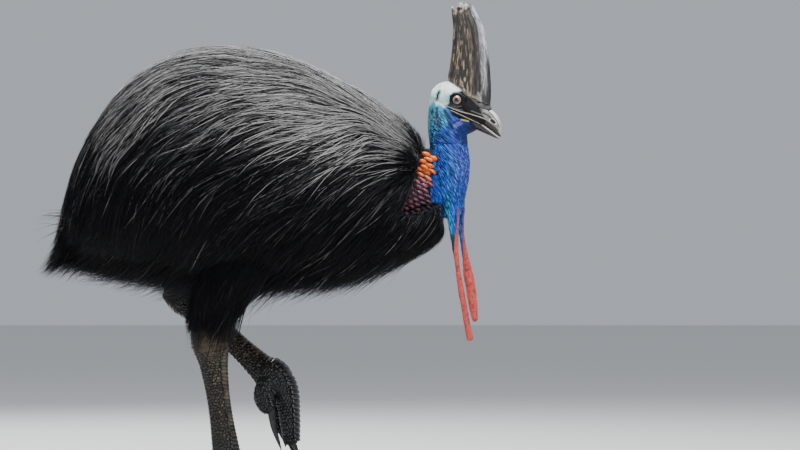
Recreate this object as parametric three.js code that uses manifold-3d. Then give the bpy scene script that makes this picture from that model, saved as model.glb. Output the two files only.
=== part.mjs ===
// A southern cassowary in mid stride: it stands on its right foot and lifts the left one.
// Millimetres, +X forward, +Y to the bird's left, +Z up. The origin is on the floor, under the
// pad of the standing foot. Each mesh is one named part of the bird.
import * as THREE from "three";
import { mergeVertices } from "three/addons/utils/BufferGeometryUtils.js";
import Module from "manifold-3d";

const wasm = await Module();
wasm.setup();

// Driving sizes. The bird's middle plane is y 0 while it is built.
const clearance = 0.4; // between parts that touch
const standingFootY = -15; // the standing foot is set well under the body
const headCentre = [505, 0, 867]; // midway between the eyes
const headTurn = 13; // degrees that the head looks to the bird's right
const eyeRadius = 15;
const coatDepth = { back: 20, side: 24, belly: 44 }; // from the core to the coat's outline
const frontDepth = 0.25; // the coat's share of that depth at the collar, where the locks start
const coatRise = 27; // how far a lock's tip stands off the core at the belly

// Deterministic variation: the same sequence on each run.
let seed = 20;
function vary(amount) {
  seed = (seed * 16807) % 2147483647;
  return amount * (seed / 1073741823.5 - 1);
}

const vec = (x, y, z) => new THREE.Vector3(x, y, z);
const mix = (a, b, t) => a + (b - a) * t;
const clamp = (value) => Math.min(Math.max(value, 0), 1);
const radians = (degrees) => (degrees * Math.PI) / 180;
const across = vec(0, 1, 0);

// The row of a table at t from 0 to 1, on a smooth curve through all its rows.
function along(table, t) {
  const place = clamp(t) * (table.length - 1);
  const i = Math.min(Math.floor(place), table.length - 2);
  const f = place - i;
  const row = (k) => table[Math.min(Math.max(k, 0), table.length - 1)];
  return row(i).map((b, n) => {
    const [a, c, d] = [row(i - 1)[n], row(i + 1)[n], row(i + 2)[n]];
    const bend = 2 * a - 5 * b + 4 * c - d + (3 * b - a - 3 * c + d) * f;
    return b + 0.5 * f * (c - a + f * bend);
  });
}

// A closed geometry as a solid, with its faces turned out.
function toSolid(geometry) {
  const place = geometry.attributes.position;
  const faces = [...geometry.index.array];
  const [a, b, c] = [vec(), vec(), vec()];
  let volume = 0;
  for (let i = 0; i < faces.length; i += 3) {
    a.fromBufferAttribute(place, faces[i]);
    b.fromBufferAttribute(place, faces[i + 1]);
    c.fromBufferAttribute(place, faces[i + 2]);
    volume += a.dot(b.cross(c));
  }
  if (volume < 0) faces.reverse();
  const mesh = new wasm.Mesh({
    numProp: 3,
    vertProperties: new Float32Array(place.array),
    triVerts: new Uint32Array(faces),
  });
  return new wasm.Manifold(mesh);
}

// The surface of a solid as a geometry.
function toGeometry(body) {
  const { vertProperties, triVerts } = body.getMesh();
  const geometry = new THREE.BufferGeometry();
  const place = new THREE.BufferAttribute(new Float32Array(vertProperties), 3);
  geometry.setAttribute("position", place);
  geometry.setIndex([...triVerts]);
  return geometry;
}

// A three.js geometry as a solid, with each of its points moved by a function.
function formed(geometry, move) {
  geometry.deleteAttribute("normal");
  geometry.deleteAttribute("uv");
  const merged = mergeVertices(geometry, 1e-4);
  const place = merged.attributes.position;
  const point = vec();
  for (let i = 0; i < place.count; i++) {
    const { x, y, z } = move(point.fromBufferAttribute(place, i));
    place.setXYZ(i, x, y, z);
  }
  return toSolid(merged);
}

// A three.js geometry as a solid at a place, turned by an Euler angle and stretched.
function placed(geometry, place, turn = [0, 0, 0], stretch = [1, 1, 1]) {
  const matrix = new THREE.Matrix4().compose(
    place,
    new THREE.Quaternion().setFromEuler(new THREE.Euler(...turn.map(radians))),
    vec(...stretch),
  );
  return formed(geometry, (p) => p.applyMatrix4(matrix));
}

const join = (...solids) => solids.flat(3).reduce((sum, s) => sum.add(s));

// The same solid with its skin moved out, used to cut a neighbour clear of it.
function swollen(body) {
  const geometry = toGeometry(body);
  geometry.computeVertexNormals();
  const { position, normal } = geometry.attributes;
  const point = vec();
  const out = vec();
  for (let i = 0; i < position.count; i++) {
    out.fromBufferAttribute(normal, i);
    point.fromBufferAttribute(position, i).addScaledVector(out, clearance);
    position.setXYZ(i, ...point);
  }
  return toSolid(geometry);
}

const clearOf = (body, ...others) =>
  others.reduce((left, other) => left.subtract(swollen(other)).subtract(other), body);

// Keeps what lies above the floor.
function onFloor(body) {
  const size = 4000;
  const slab = new THREE.BoxGeometry(size, size, size);
  return body.intersect(placed(slab, vec(0, 0, size / 2)));
}

// The point of a limb at t along it. Each station is x, y, z, half depth and half width, and
// the width runs along `side`. `deep` and `wide` say how far the point lies that way, and
// `past` how far beyond the station along the limb.
function limbPoint(stations, side, t, deep, wide, past = 0) {
  const [x, y, z, depth, width] = along(stations, t);
  const [a, b] = [along(stations, t - 0.01), along(stations, t + 0.01)];
  const ahead = vec(b[0] - a[0], b[1] - a[1], b[2] - a[2]).normalize();
  const wideAxis = side.clone().addScaledVector(ahead, -side.dot(ahead)).normalize();
  const deepAxis = wideAxis.clone().cross(ahead);
  return vec(x, y, z)
    .addScaledVector(ahead, past)
    .addScaledVector(deepAxis, deep * depth)
    .addScaledVector(wideAxis, wide * width);
}

// A limb through stations. `ends` are the heights of its domes, `at` says where its rings lie,
// and `swell` gives a factor for each point. On a limb that runs down, deep -1 is the front.
function limb(stations, options = {}) {
  const { rings = 8, sides = 10, side = across, ends = [0, 0] } = options;
  const { at = (i) => i / (rings - 1), swell = () => 1 } = options;
  const domeRows = 2;
  const first = ends[0] ? domeRows : 0;
  const rows = first + rings - 1 + (ends[1] ? domeRows : 0);
  return formed(new THREE.CylinderGeometry(1, 1, 1, sides, rows), (p) => {
    const row = Math.round((0.5 - p.y) * rows);
    const over = Math.max(first - row, row - first - rings + 1, 0);
    const centre = Math.hypot(p.x, p.z) < 0.5;
    const rise = centre ? Math.PI / 2 : (over * Math.PI) / (2 * (domeRows + 1));
    const end = row <= first ? -ends[0] : ends[1];
    const past = over > 0 || (centre && end !== 0) ? end * Math.sin(rise) : 0;
    const t = at(Math.min(Math.max(row - first, 0), rings - 1));
    const size = Math.cos(rise) * swell(t, p.z, p.x);
    return limbPoint(stations, side, t, p.z * size, p.x * size, past);
  });
}

// The coat's outline from the collar to the rump. Each row joins a point of the back to one of
// the belly: back x, back z, belly x, belly z, half width.
const coatSections = [
  [430, 752, 480, 592, 58],
  [371, 837, 477, 527, 104],
  [232, 923, 389, 473, 166],
  [86, 981, 221, 439, 206],
  [-72, 990, 18, 434, 216],
  [-207, 932, -162, 446, 198],
  [-315, 801, -297, 470, 148],
  [-378, 628, -374, 493, 70],
];
const rumpDome = 18;

// The torso's core at u along the body and v round it: v 0 is the back, 0.25 the bird's right
// side and 0.5 the belly. `out` moves the point off the core.
function torsoSurface(u, v, out = 0) {
  const [backX, backZ, bellyX, bellyZ, half] = along(coatSections, u);
  const up = Math.cos(2 * Math.PI * v);
  const wide = Math.sin(2 * Math.PI * v);
  const spine = vec(backX - bellyX, 0, backZ - bellyZ);
  const tall = spine.length() / 2;
  const grown = mix(frontDepth, 1, clamp(u / 0.3));
  const inset = grown * (up > 0 ? coatDepth.back : coatDepth.belly);
  const width = (half - grown * coatDepth.side + out) * Math.sign(wide) * Math.abs(wide) ** 0.88;
  const point = vec((backX + bellyX) / 2, 0, (backZ + bellyZ) / 2);
  point.addScaledVector(spine.normalize(), up * (tall - inset + out));
  return point.setY(-width * (1 - 0.1 * up));
}

// The coat stands open round the bare patch on each side of the neck's base.
const openCollar = [[451, 775], [371, 622], [384, 602], [520, 606], [520, 775]];

function torsoCore() {
  const sides = 18;
  const [rows, domeRows] = [10, 2];
  const core = formed(new THREE.CylinderGeometry(1, 1, 1, sides, rows + domeRows), (p) => {
    const row = Math.round((0.5 - p.y) * (rows + domeRows));
    const over = Math.max(row - rows, 0);
    const u = Math.min(row / rows, 1);
    const middle = torsoSurface(u, 0).lerp(torsoSurface(u, 0.5), 0.5).setY(0);
    if (Math.hypot(p.x, p.z) < 0.5) return middle.setX(middle.x - (row > 0 ? rumpDome : 0));
    const rise = (over * Math.PI) / (2 * (domeRows + 1));
    const point = torsoSurface(u, Math.atan2(p.x, p.z) / (2 * Math.PI));
    return middle.lerp(point, Math.cos(rise)).add(vec(-rumpDome * Math.sin(rise), 0, 0));
  });
  const outline = new THREE.Shape(openCollar.map(([x, z]) => new THREE.Vector2(x, z)));
  const depth = 400;
  const notch = new THREE.ExtrudeGeometry(outline, { depth, bevelEnabled: false });
  return core.subtract(placed(notch, vec(0, depth / 2, 0), [90, 0, 0]));
}

// The lie of the coat in side view. Near x, z the locks point to the rear, turned down by the
// third number in degrees.
const comb = [
  [425, 755, -50], [372, 825, -38], [250, 905, -26], [60, 975, -6], [-100, 975, 6],
  [-230, 900, 38], [-330, 760, 62], [-370, 620, 55], [395, 730, 15], [385, 640, 52],
  [260, 760, 28], [150, 640, 34], [300, 560, 42], [455, 560, 30], [380, 500, 52],
  [120, 870, 10], [40, 560, 46], [150, 450, 62], [-50, 760, 28], [-120, 600, 58],
  [-200, 780, 48], [-260, 620, 66], [-330, 520, 40], [-180, 480, 66], [-20, 430, 72],
  [60, 380, 80], [-60, 350, 76],
];

function lieAt(x, z) {
  const lie = vec(0, 0, 0);
  for (const [cx, cz, down] of comb) {
    const weight = 1e4 / ((x - cx) ** 2 + (z - cz) ** 2 + 900) ** 1.5;
    lie.x -= weight * Math.cos(radians(down));
    lie.z -= weight * Math.sin(radians(down));
  }
  return lie.normalize();
}

// The steps in u and v that move a surface's point along a short arrow.
function stepOver(surface, u, v, arrow) {
  const d = 0.004;
  const alongU = surface(u + d, v).sub(surface(u - d, v)).divideScalar(2 * d);
  const alongV = surface(u, v + d).sub(surface(u, v - d)).divideScalar(2 * d);
  const [uu, uv, vv] = [alongU.dot(alongU), alongU.dot(alongV), alongV.dot(alongV)];
  const [fu, fv] = [alongU.dot(arrow), alongV.dot(arrow)];
  const det = uu * vv - uv * uv;
  const normal = alongU.cross(alongV).normalize();
  return { du: (fu * vv - fv * uv) / det, dv: (fv * uu - fu * uv) / det, normal };
}

// A lock: a tapered blade, flat below and ridged above, rooted under a surface at u, v. It
// follows the lie, turned by `swing`, and rises from its root to its tip. With `hang` it leaves
// the surface and falls free.
function lock(surface, u, v, options) {
  const { length, halfWidth, halfThick = 3.4, swing = 0, rise, hang = 0 } = options;
  const { rows = 5, root = 9, fullAt = 0.3 } = options;
  const line = [];
  let free = null;
  for (let i = 0; i <= rows; i++) {
    const t = i / rows;
    const { normal } = stepOver(surface, u, v, across);
    const held = surface(u, v).addScaledVector(normal, mix(-root, rise, Math.sqrt(t)));
    const place = free ? held.clone().lerp(free, hang) : held;
    const lie = lieAt(place.x, place.z).applyAxisAngle(normal, swing);
    const flat = lie.clone().addScaledVector(normal, -lie.dot(normal)).normalize();
    line.push({ place, normal });
    free = place.clone().addScaledVector(flat.clone().lerp(lie, hang).normalize(), length / rows);
    const step = stepOver(surface, u, v, flat.multiplyScalar(length / rows));
    u = Math.min(Math.max(u + step.du, 0.01), 0.99);
    v += step.dv;
  }
  return formed(new THREE.ConeGeometry(1, 1, 3, rows), (p) => {
    const row = Math.round((0.5 + p.y) * rows);
    const { place, normal } = line[row];
    if (Math.hypot(p.x, p.z) < 1e-3) return place.clone();
    const [a, b] = [line[Math.max(row - 1, 0)].place, line[Math.min(row + 1, rows)].place];
    const ahead = b.clone().sub(a).normalize();
    const wide = ahead.clone().cross(normal).normalize();
    const out = wide.clone().cross(ahead);
    const t = row / rows;
    const taper = t < fullAt ? mix(0.55, 1, t / fullAt) : 1 - 0.85 * ((t - fullAt) / (1 - fullAt)) ** 1.2;
    const ridge = p.z > 1e-3;
    const shift = ridge ? 0 : Math.sign(p.x) * halfWidth * taper;
    const lift = ridge ? 2 * halfThick * mix(1, 0.5, t) : -0.1 * halfWidth * taper;
    return place.clone().addScaledVector(wide, shift).addScaledVector(out, lift);
  });
}

// The torso's locks stand in staggered rings from the collar to the rump.
function torsoLocks() {
  const rings = 7;
  const locks = [];
  for (let r = 0; r < rings; r++) {
    const u = mix(0.03, 0.87, r / (rings - 1));
    const tall = torsoSurface(u, 0).distanceTo(torsoSurface(u, 0.5)) / 2;
    const girth = Math.PI * (tall + along(coatSections, u)[4]);
    const count = Math.max(7, Math.round(girth / 124));
    for (let k = 0; k < count; k++) {
      const v = (k + (r % 2) / 2) / count;
      const low = 0.5 - 0.5 * Math.cos(2 * Math.PI * v);
      const place = torsoSurface(u, v);
      if (place.x > 372 && place.z > 600 && place.z < 760) continue;
      locks.push(
        lock(torsoSurface, u + vary(0.012), v + vary(0.006), {
          length: mix(230, 185, low) + vary(16),
          halfWidth: (0.35 * girth) / count,
          rise: mix(14, coatRise, low),
          rows: 4,
          swing: vary(0.08),
          hang: low > 0.85 ? 0.7 : 0,
        }),
      );
    }
  }
  return locks;
}

// The neck: a column of blue skin, with a fold down each side, that narrows into the wattles.
const neckStations = [
  [478, 0, 846, 37, 31],
  [484, 0, 812, 43, 35],
  [488, 0, 764, 43, 37],
  [493, 0, 712, 43, 37],
  [489, 0, 660, 39, 33],
  [487, 0, 615, 30, 24],
];
const neckFold = { at: 0.5, height: 0.08 }; // where the folds lie across, and how they swell

function neckColumn() {
  const swell = (t, deep, wide) =>
    1 + neckFold.height * Math.exp(-(((deep - neckFold.at) / 0.2) ** 2)) * Math.abs(wide);
  return limb(neckStations, { rings: 7, sides: 12, ends: [10, 18], swell });
}

// The neck's base: bare skin between the column and the coat, under rows of bulbs.
const baseStations = [
  [366, 0, 628, 58, 62],
  [398, 0, 652, 70, 62],
  [426, 0, 672, 68, 50],
  [452, 0, 692, 50, 28],
];
const neckBase = () => limb(baseStations, { rings: 4, sides: 14 });

// Bulbs in rows down each side of the base: small and orange above, larger and purple below.
function caruncles() {
  const bulbs = [];
  const columns = 4;
  for (const side of [-1, 1])
    for (let column = 0; column < columns; column++) {
      const t = mix(0.32, 0.82, column / (columns - 1));
      const count = 4;
      for (let k = 0; k < count; k++) {
        const turn = mix(-58, 64, (k + (column % 2) / 2) / (count - 0.5)) + vary(2.5);
        const [deep, wide] = [Math.sin(radians(turn)), side * Math.cos(radians(turn))];
        const size = mix(11, 14.5, clamp((turn + 50) / 90)) + vary(0.9);
        const place = limbPoint(baseStations, across, t + vary(0.02), deep, wide);
        const pod = new THREE.IcosahedronGeometry(size, 0);
        bulbs.push(placed(pod, place, [vary(20), 28 + vary(12), 0], [1.2, 0.8, 0.75]));
      }
    }
  return bulbs;
}

// A wattle: broad and blue where it leaves the neck, then a red cord with a rounded end.
const wattles = {
  right: [
    [492, -15, 664, 12, 6],
    [497, -21, 612, 15, 5.5],
    [500, -23, 560, 10, 4.5],
    [506, -23, 500, 5.5, 4.5],
    [515, -22, 438, 7, 6],
    [527, -21, 370, 7.5, 7],
    [535, -21, 328, 8, 7.5],
  ],
  left: [
    [514, 8, 668, 12, 6],
    [514, 15, 616, 11, 5],
    [517, 18, 566, 6.5, 5],
    [525, 19, 516, 7, 6],
    [533, 19, 468, 11, 8],
    [541, 18, 418, 11, 8],
    [547, 17, 372, 7.5, 7],
  ],
};
const grains = (t, deep, wide) => 1 + 0.05 * Math.sin(60 * t + 3 * deep + 2 * wide);
const wattle = (stations) =>
  limb(stations, { rings: 12, sides: 7, ends: [0, 8], swell: grains });

// The head in its own frame: the origin is midway between the eyes, +X ahead and +Z up.
const skullStations = [
  [-42, 0, 0, 29, 24],
  [-22, 0, 3, 38, 30],
  [6, 0, -9, 36, 31],
  [32, 0, -28, 27, 26],
  [54, 0, -43, 20, 19],
  [68, 0, -53, 14, 14],
];
const throatStations = [
  [-20, 0, -40, 28, 24],
  [17, 0, -57, 25, 20],
  [44, 0, -61, 11, 13],
];
const eye = { x: 6, y: 16.5, z: -3 }; // the middle of the left eyeball
const ear = { x: -39, y: 22, z: 8, rim: 6, tube: 2.2, cup: 5.4 };

const eyeBall = (side) =>
  placed(new THREE.SphereGeometry(eyeRadius, 10, 7), vec(eye.x, side * eye.y, eye.z));

// Lids close round each eye, a rim of skin stands round each ear, and a cup is sunk in it.
function headSolid() {
  let head = join(
    limb(skullStations, { rings: 6, sides: 10, ends: [16, 0] }),
    limb(throatStations, { rings: 4, sides: 8, ends: [0, 6] }),
  );
  for (const side of [-1, 1]) {
    const lids = new THREE.TorusGeometry(12.6, 3.4, 4, 10);
    const rim = new THREE.TorusGeometry(ear.rim, ear.tube, 4, 7);
    head = join(
      head,
      placed(lids, vec(eye.x, side * (eye.y + 10.5), eye.z), [90, 0, 0], [1.12, 0.94, 1]),
      placed(rim, vec(ear.x, side * ear.y, ear.z), [90, 0, 0]),
    );
    const cup = new THREE.SphereGeometry(ear.cup, 8, 6);
    head = head.subtract(placed(cup, vec(ear.x, side * (ear.y + 2), ear.z)));
    head = clearOf(head, eyeBall(side));
  }
  return head;
}

// The bill, with the line of the mouth as a slope between its halves.
const upperBill = [
  [44, 0, -26, 20, 16],
  [64, 0, -38, 18.5, 14.5],
  [80, 0, -50, 16, 12],
  [92, 0, -64, 12.5, 9],
  [99, 0, -75.5, 8.5, 6],
  [102, 0, -83, 3.5, 2.6],
];
const lowerBill = [
  [32, 0, -46, 16, 15],
  [56, 0, -59, 14, 13],
  [78, 0, -73.5, 9.5, 9.5],
  [97, 0, -87, 4.2, 4.5],
];
const mouth = { x: 64, z: -59, slope: 38 };
const nostril = { x: 83, y: 10.5, z: -50, slope: 42 };

function aboveMouth(drop) {
  const slab = new THREE.BoxGeometry(400, 100, 100);
  slab.translate(0, 0, 50 - drop);
  return placed(slab, vec(mouth.x, 0, mouth.z), [0, mouth.slope, 0]);
}

function bills() {
  let upper = limb(upperBill, { rings: 7, sides: 10 }).intersect(aboveMouth(0));
  const lower = limb(lowerBill, { rings: 6, sides: 8 }).subtract(aboveMouth(clearance));
  for (const side of [-1, 1]) {
    const place = vec(nostril.x, side * nostril.y, nostril.z);
    const slot = new THREE.SphereGeometry(2.6, 7, 5);
    upper = upper.subtract(placed(slot, place, [0, nostril.slope, 0], [2.3, 1, 0.8]));
  }
  return { upper, lower };
}

// The casque: a tall blade of horn, round behind and keeled in front, with an old chip out of
// its top. Rows: rear x, rear z, front x, front z, half thickness.
const casqueSections = [
  [-14, 30, 71, -24, 21],
  [-20, 52, 77, 10, 20],
  [-14, 82, 76, 58, 17.5],
  [-9, 130, 70, 110, 14],
  [-8, 168, 60, 160, 11.5],
  [-12, 200, 40, 200, 9],
];
const casqueTip = [14, 0, 220];
const chip = [[-16, 226], [-6, 206], [-2, 188], [4, 214], [4, 226]];

function casqueSolid() {
  const [rows, capRows] = [8, 2];
  const blade = formed(new THREE.CylinderGeometry(1, 1, 1, 14, rows + capRows), (p) => {
    const row = Math.round((0.5 + p.y) * (rows + capRows));
    const over = Math.max(row - rows, 0);
    const [rearX, rearZ, frontX, frontZ, half] = along(casqueSections, row / rows);
    const ahead = (1 + p.z) / 2;
    const point = vec(
      mix(rearX, frontX, ahead),
      half * p.x * (1 - 0.5 * ahead ** 2),
      mix(rearZ, frontZ, ahead),
    );
    if (Math.hypot(p.x, p.z) < 0.5) return row > 0 ? vec(...casqueTip) : point.setY(0);
    return point.lerp(vec(...casqueTip), over ? 0.4 * over ** 0.5 : 0);
  });
  const outline = new THREE.Shape(chip.map(([x, z]) => new THREE.Vector2(x, z)));
  const notch = new THREE.ExtrudeGeometry(outline, { depth: 60, bevelEnabled: false });
  return blade.subtract(placed(notch, vec(0, 30, 0), [90, 0, 0]));
}

// The legs: a feathered drumstick from the knee to the hock, and a bare shank to the ball of
// the foot.
const legs = {
  right: {
    thigh: [
      [66, -84, 560, 72, 48],
      [-12, -84, 448, 60, 46],
      [-42, -66, 388, 49, 37],
      [-47, -59, 345, 44, 33],
    ],
    hock: vec(-47, -57, 327),
    ball: vec(-8, standingFootY, 46),
    ballDepth: 31,
  },
  left: {
    thigh: [
      [78, 92, 610, 76, 48],
      [0, 104, 530, 68, 48],
      [-76, 100, 466, 52, 38],
      [-110, 97, 438, 44, 33],
    ],
    hock: vec(-115, 96, 424),
    ball: vec(90, 46, 236),
    ballDepth: 35,
  },
};
const station = (p, depth, width) => [...p, depth, width];
const between = ({ hock, ball }, t) => hock.clone().lerp(ball, t);

// A ring of locks hangs round the drumstick and covers its lower end.
function drumstick({ thigh }) {
  const surface = (u, v) =>
    limbPoint(thigh, across, u, Math.cos(2 * Math.PI * v), -Math.sin(2 * Math.PI * v));
  const shaft = limb(thigh, { rings: 4, sides: 10, ends: [20, 6] });
  const locks = [];
  const count = 8;
  for (let k = 0; k < count; k++)
    locks.push(
      lock(surface, 0.52 + vary(0.06), (k + 0.3) / count, {
        length: 124 + vary(10),
        halfWidth: 19,
        halfThick: 2.8,
        rise: 10,
        root: 6,
        rows: 4,
        swing: vary(0.06),
      }),
    );
  return join(shaft, locks);
}

// The shank's front carries a row of raised scutes, which make steps in its surface.
const scuteStep = 0.1;

function scuted(count, from, to) {
  return (t, deep, wide) => {
    if (t < from || t > to) return 1;
    const place = ((t - from) / (to - from)) * count;
    const rise = 1 - (place - Math.floor(place));
    return deep < -0.2 ? 1 + scuteStep * rise * Math.sqrt(-deep) : 1;
  };
}

// Rings on both sides of each step between scutes, and plain rings above them.
function scuteRings(count, from, to, plain) {
  const places = plain.filter((t) => t < from || t > to);
  for (let i = 0; i < count; i++) {
    const [a, b] = [i + 0.02, i + 0.9].map((n) => mix(from, to, n / count));
    places.push(a, b);
  }
  return places.sort((a, b) => a - b);
}

function shank(leg) {
  const stations = [
    station(between(leg, -0.06), 42, 31),
    station(between(leg, 0.05), 42, 32),
    station(between(leg, 0.2), 30, 24),
    station(between(leg, 0.4), 24.5, 19.5),
    station(between(leg, 0.6), 23.5, 19),
    station(between(leg, 0.8), mix(25, leg.ballDepth, 0.25), 21),
    station(between(leg, 1), leg.ballDepth, 31),
  ];
  const count = 8;
  const places = scuteRings(count, 0.24, 0.94, [0, 0.1, 0.18, 1]);
  return limb(stations, {
    rings: places.length,
    sides: 9,
    ends: [8, 12],
    at: (i) => places[i],
    swell: scuted(count, 0.24, 0.94),
  });
}

// A toe bends from joint to joint, with a plate of horn over each step of its upper side.
function toe(points, depths, side) {
  const stations = points.map((p, i) => station(p, depths[i], depths[i] * 0.92));
  const count = 4;
  const places = scuteRings(count, 0.2, 0.97, [0, 1]);
  return limb(stations, {
    rings: places.length,
    sides: 8,
    side,
    ends: [0, 5],
    at: (i) => places[i],
    swell: scuted(count, 0.2, 0.97),
  });
}

function claw(from, to, bow, root, side) {
  const middle = from.clone().lerp(to, 0.5).add(bow);
  const stations = [
    station(from, root, root * 0.8),
    station(from.clone().lerp(middle, 0.55), root * 0.92, root * 0.72),
    station(middle, root * 0.7, root * 0.55),
    station(middle.clone().lerp(to, 0.6), root * 0.42, root * 0.34),
    station(to, root * 0.12, root * 0.12),
  ];
  return limb(stations, { rings: 5, sides: 6, side });
}

// The standing foot: toes flat on the floor, spread by their angle from straight ahead, and a
// pad under the ball.
const toeKinds = {
  middle: { spread: 2, length: 156, depths: [25, 20, 18, 13.5], nail: 44, nailRoot: 10 },
  inner: { spread: 38, length: 90, depths: [22, 20, 17, 14], nail: 98, nailRoot: 10 },
  outer: { spread: -36, length: 112, depths: [22, 18, 15, 12], nail: 36, nailRoot: 8.5 },
};
const flattened = 0.8; // a toe's middle stands this much of its depth above the floor

function standingToe({ spread, length, depths, nail, nailRoot }) {
  const turn = radians(spread);
  const ahead = vec(Math.cos(turn), Math.sin(turn), 0);
  const wide = vec(-Math.sin(turn), Math.cos(turn), 0);
  const start = legs.right.ball.clone().addScaledVector(ahead, 8);
  const points = depths.map((depth, i) =>
    start.clone().addScaledVector(ahead, (length * i) / 3).setZ(depth * flattened),
  );
  const root = points[3].clone().setZ(13);
  const end = root.clone().addScaledVector(ahead, nail).setZ(3.5);
  return {
    flesh: onFloor(toe(points, depths, wide)),
    nail: claw(root, end, vec(0, 0, 3), nailRoot, wide),
  };
}

function footPad({ ball }) {
  const low = ball.clone().setZ(20);
  return limb([station(ball, 30, 30), station(low, 33, 31)], { rings: 2, sides: 10, ends: [0, 24] });
}

// The lifted foot hangs from its ball with the toes pointing down.
const liftedToes = {
  inner: {
    points: [vec(82, 34, 226), vec(71, 24, 200), vec(76, 20, 178), vec(85, 18, 166)],
    depths: [25, 23, 19, 14],
    nail: { from: vec(86, 18, 170), to: vec(110, 14, 76), bow: vec(-4, 0, 0), root: 9 },
  },
  middle: {
    points: [vec(102, 44, 240), vec(119, 42, 206), vec(126, 40, 150), vec(131, 40, 92)],
    depths: [28, 25, 21, 16],
    nail: { from: vec(132, 40, 92), to: vec(147, 40, 44), bow: vec(3, 0, 0), root: 9.5 },
  },
  outer: {
    points: [vec(92, 58, 228), vec(98, 70, 198), vec(104, 76, 156), vec(108, 78, 116)],
    depths: [24, 20, 16, 12.5],
    nail: { from: vec(108, 78, 116), to: vec(118, 78, 80), bow: vec(2, 0, 0), root: 8 },
  },
};

function liftedToe({ points, depths, nail }) {
  return {
    flesh: toe(points, depths, across),
    nail: claw(nail.from, nail.to, nail.bow, nail.root, across),
  };
}

// Each wing is a stub in the coat with five bare quills that sweep down over the flank.
const wingRoot = { u: 0.34, v: 0.27 };
const quills = [
  { length: 330, swing: -0.16 },
  { length: 320, swing: -0.04 },
  { length: 335, swing: 0.1 },
  { length: 290, swing: 0.22 },
  { length: 250, swing: 0.36 },
];

function wing(side) {
  const onSide = (v) => (side < 0 ? v : 1 - v);
  const stub = [-0.05, 0, 0.05].map((shift, i) => {
    const place = torsoSurface(wingRoot.u + shift, onSide(wingRoot.v + 0.4 * shift), 3);
    return station(place, [18, 26, 20][i], [7, 9, 8][i]);
  });
  const shafts = quills.map(({ length, swing }, i) =>
    lock(torsoSurface, wingRoot.u + 0.016 * (2 - i), onSide(wingRoot.v + 0.008), {
      length,
      halfWidth: 2.8,
      halfThick: 2.2,
      swing: side * swing,
      rise: 36,
      root: -3,
      hang: 0.3,
      rows: 4,
    }),
  );
  return join(limb(stub, { rings: 5, sides: 6, ends: [10, 10] }), shafts);
}

const finish = (color, roughness) =>
  new THREE.MeshStandardMaterial({ color, roughness, metalness: 0 });
const materials = {
  coat: finish(0x15161a, 0.75),
  blueSkin: finish(0x1b4fa0, 0.6),
  paleSkin: finish(0x9fc9cc, 0.6),
  caruncle: finish(0xd8562a, 0.5),
  wattle: finish(0xc4494b, 0.6),
  casque: finish(0x55463a, 0.45),
  bill: finish(0x3b3a3a, 0.4),
  eye: finish(0x7a5b45, 0.1),
  legSkin: finish(0x3d372c, 0.6),
  claw: finish(0x1c1c20, 0.35),
  quill: finish(0x2a2a2c, 0.4),
};

// The scene: the bird is built on its middle plane and set with its foot over the origin.
const cassowary = new THREE.Group();
cassowary.position.y = -standingFootY;
const headGroup = new THREE.Group();
headGroup.position.set(...headCentre);
headGroup.rotation.z = radians(-headTurn);
cassowary.add(headGroup);
headGroup.updateMatrix();

// Adds a part to a group as a mesh placed at its own pivot. A part keeps only its largest
// closed surface.
function addPart(group, name, body, material, pivot = [0, 0, 0]) {
  const [whole] = body.decompose().sort((a, b) => b.volume() - a.volume());
  const geometry = toGeometry(whole);
  geometry.translate(...pivot.map((n) => -n));
  geometry.computeVertexNormals();
  const part = new THREE.Mesh(geometry, material);
  part.name = name;
  part.position.set(...pivot);
  group.add(part);
  return whole;
}

const sides = { right: -1, left: 1 };

// The head's parts are cut clear of one another in the head's own frame.
const head = headSolid();
const casque = clearOf(casqueSolid(), head);
const { upper, lower } = bills();
const billTop = clearOf(upper, head, casque);
addPart(headGroup, "head", head, materials.paleSkin);
addPart(headGroup, "casque", casque, materials.casque);
addPart(headGroup, "bill_upper", billTop, materials.bill);
addPart(headGroup, "bill_lower", clearOf(lower, head, billTop), materials.bill);
for (const [name, side] of Object.entries(sides))
  addPart(headGroup, "eye_" + name, eyeBall(side), materials.eye, [eye.x, side * eye.y, eye.z]);

const turnedHead = formed(toGeometry(head), (p) => p.applyMatrix4(headGroup.matrix));
const neck = clearOf(neckColumn(), turnedHead);
const base = clearOf(join(neckBase(), caruncles()), neck);
addPart(cassowary, "neck", neck, materials.blueSkin, [484, 0, 824]);
addPart(cassowary, "neck_base", base, materials.caruncle, baseStations[1].slice(0, 3));

const core = torsoCore();
const limbs = [];
for (const [name, side] of Object.entries(sides)) {
  const hanging = clearOf(wattle(wattles[name]), neck, base);
  addPart(cassowary, "wattle_" + name, hanging, materials.wattle, wattles[name][0].slice(0, 3));
  const stub = wing(side);
  addPart(cassowary, "wing_" + name, stub, materials.quill);
  const standing = name === "right";
  const lowerLeg = shank(legs[name]);
  const bare = standing ? onFloor(lowerLeg.add(footPad(legs[name]))) : lowerLeg;
  addPart(cassowary, "shank_" + name, bare, materials.legSkin, [...legs[name].hock]);
  const thigh = clearOf(drumstick(legs[name]), bare, core, stub);
  addPart(cassowary, "drumstick_" + name, thigh, materials.coat, [...legs[name].hock]);
  limbs.push(hanging, stub, thigh);

  const toes = [];
  for (const kind of Object.keys(toeKinds)) {
    const { flesh, nail } = standing ? standingToe(toeKinds[kind]) : liftedToe(liftedToes[kind]);
    const pivot = [...legs[name].ball];
    const bareToe = clearOf(flesh, bare, ...toes);
    addPart(cassowary, `toe_${kind}_${name}`, bareToe, materials.legSkin, pivot);
    addPart(cassowary, `claw_${kind}_${name}`, clearOf(nail, bareToe), materials.claw, pivot);
    toes.push(bareToe);
  }
}
addPart(cassowary, "torso", clearOf(join(core, torsoLocks()), neck, base, ...limbs), materials.coat);

export default cassowary;
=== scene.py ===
import math

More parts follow.
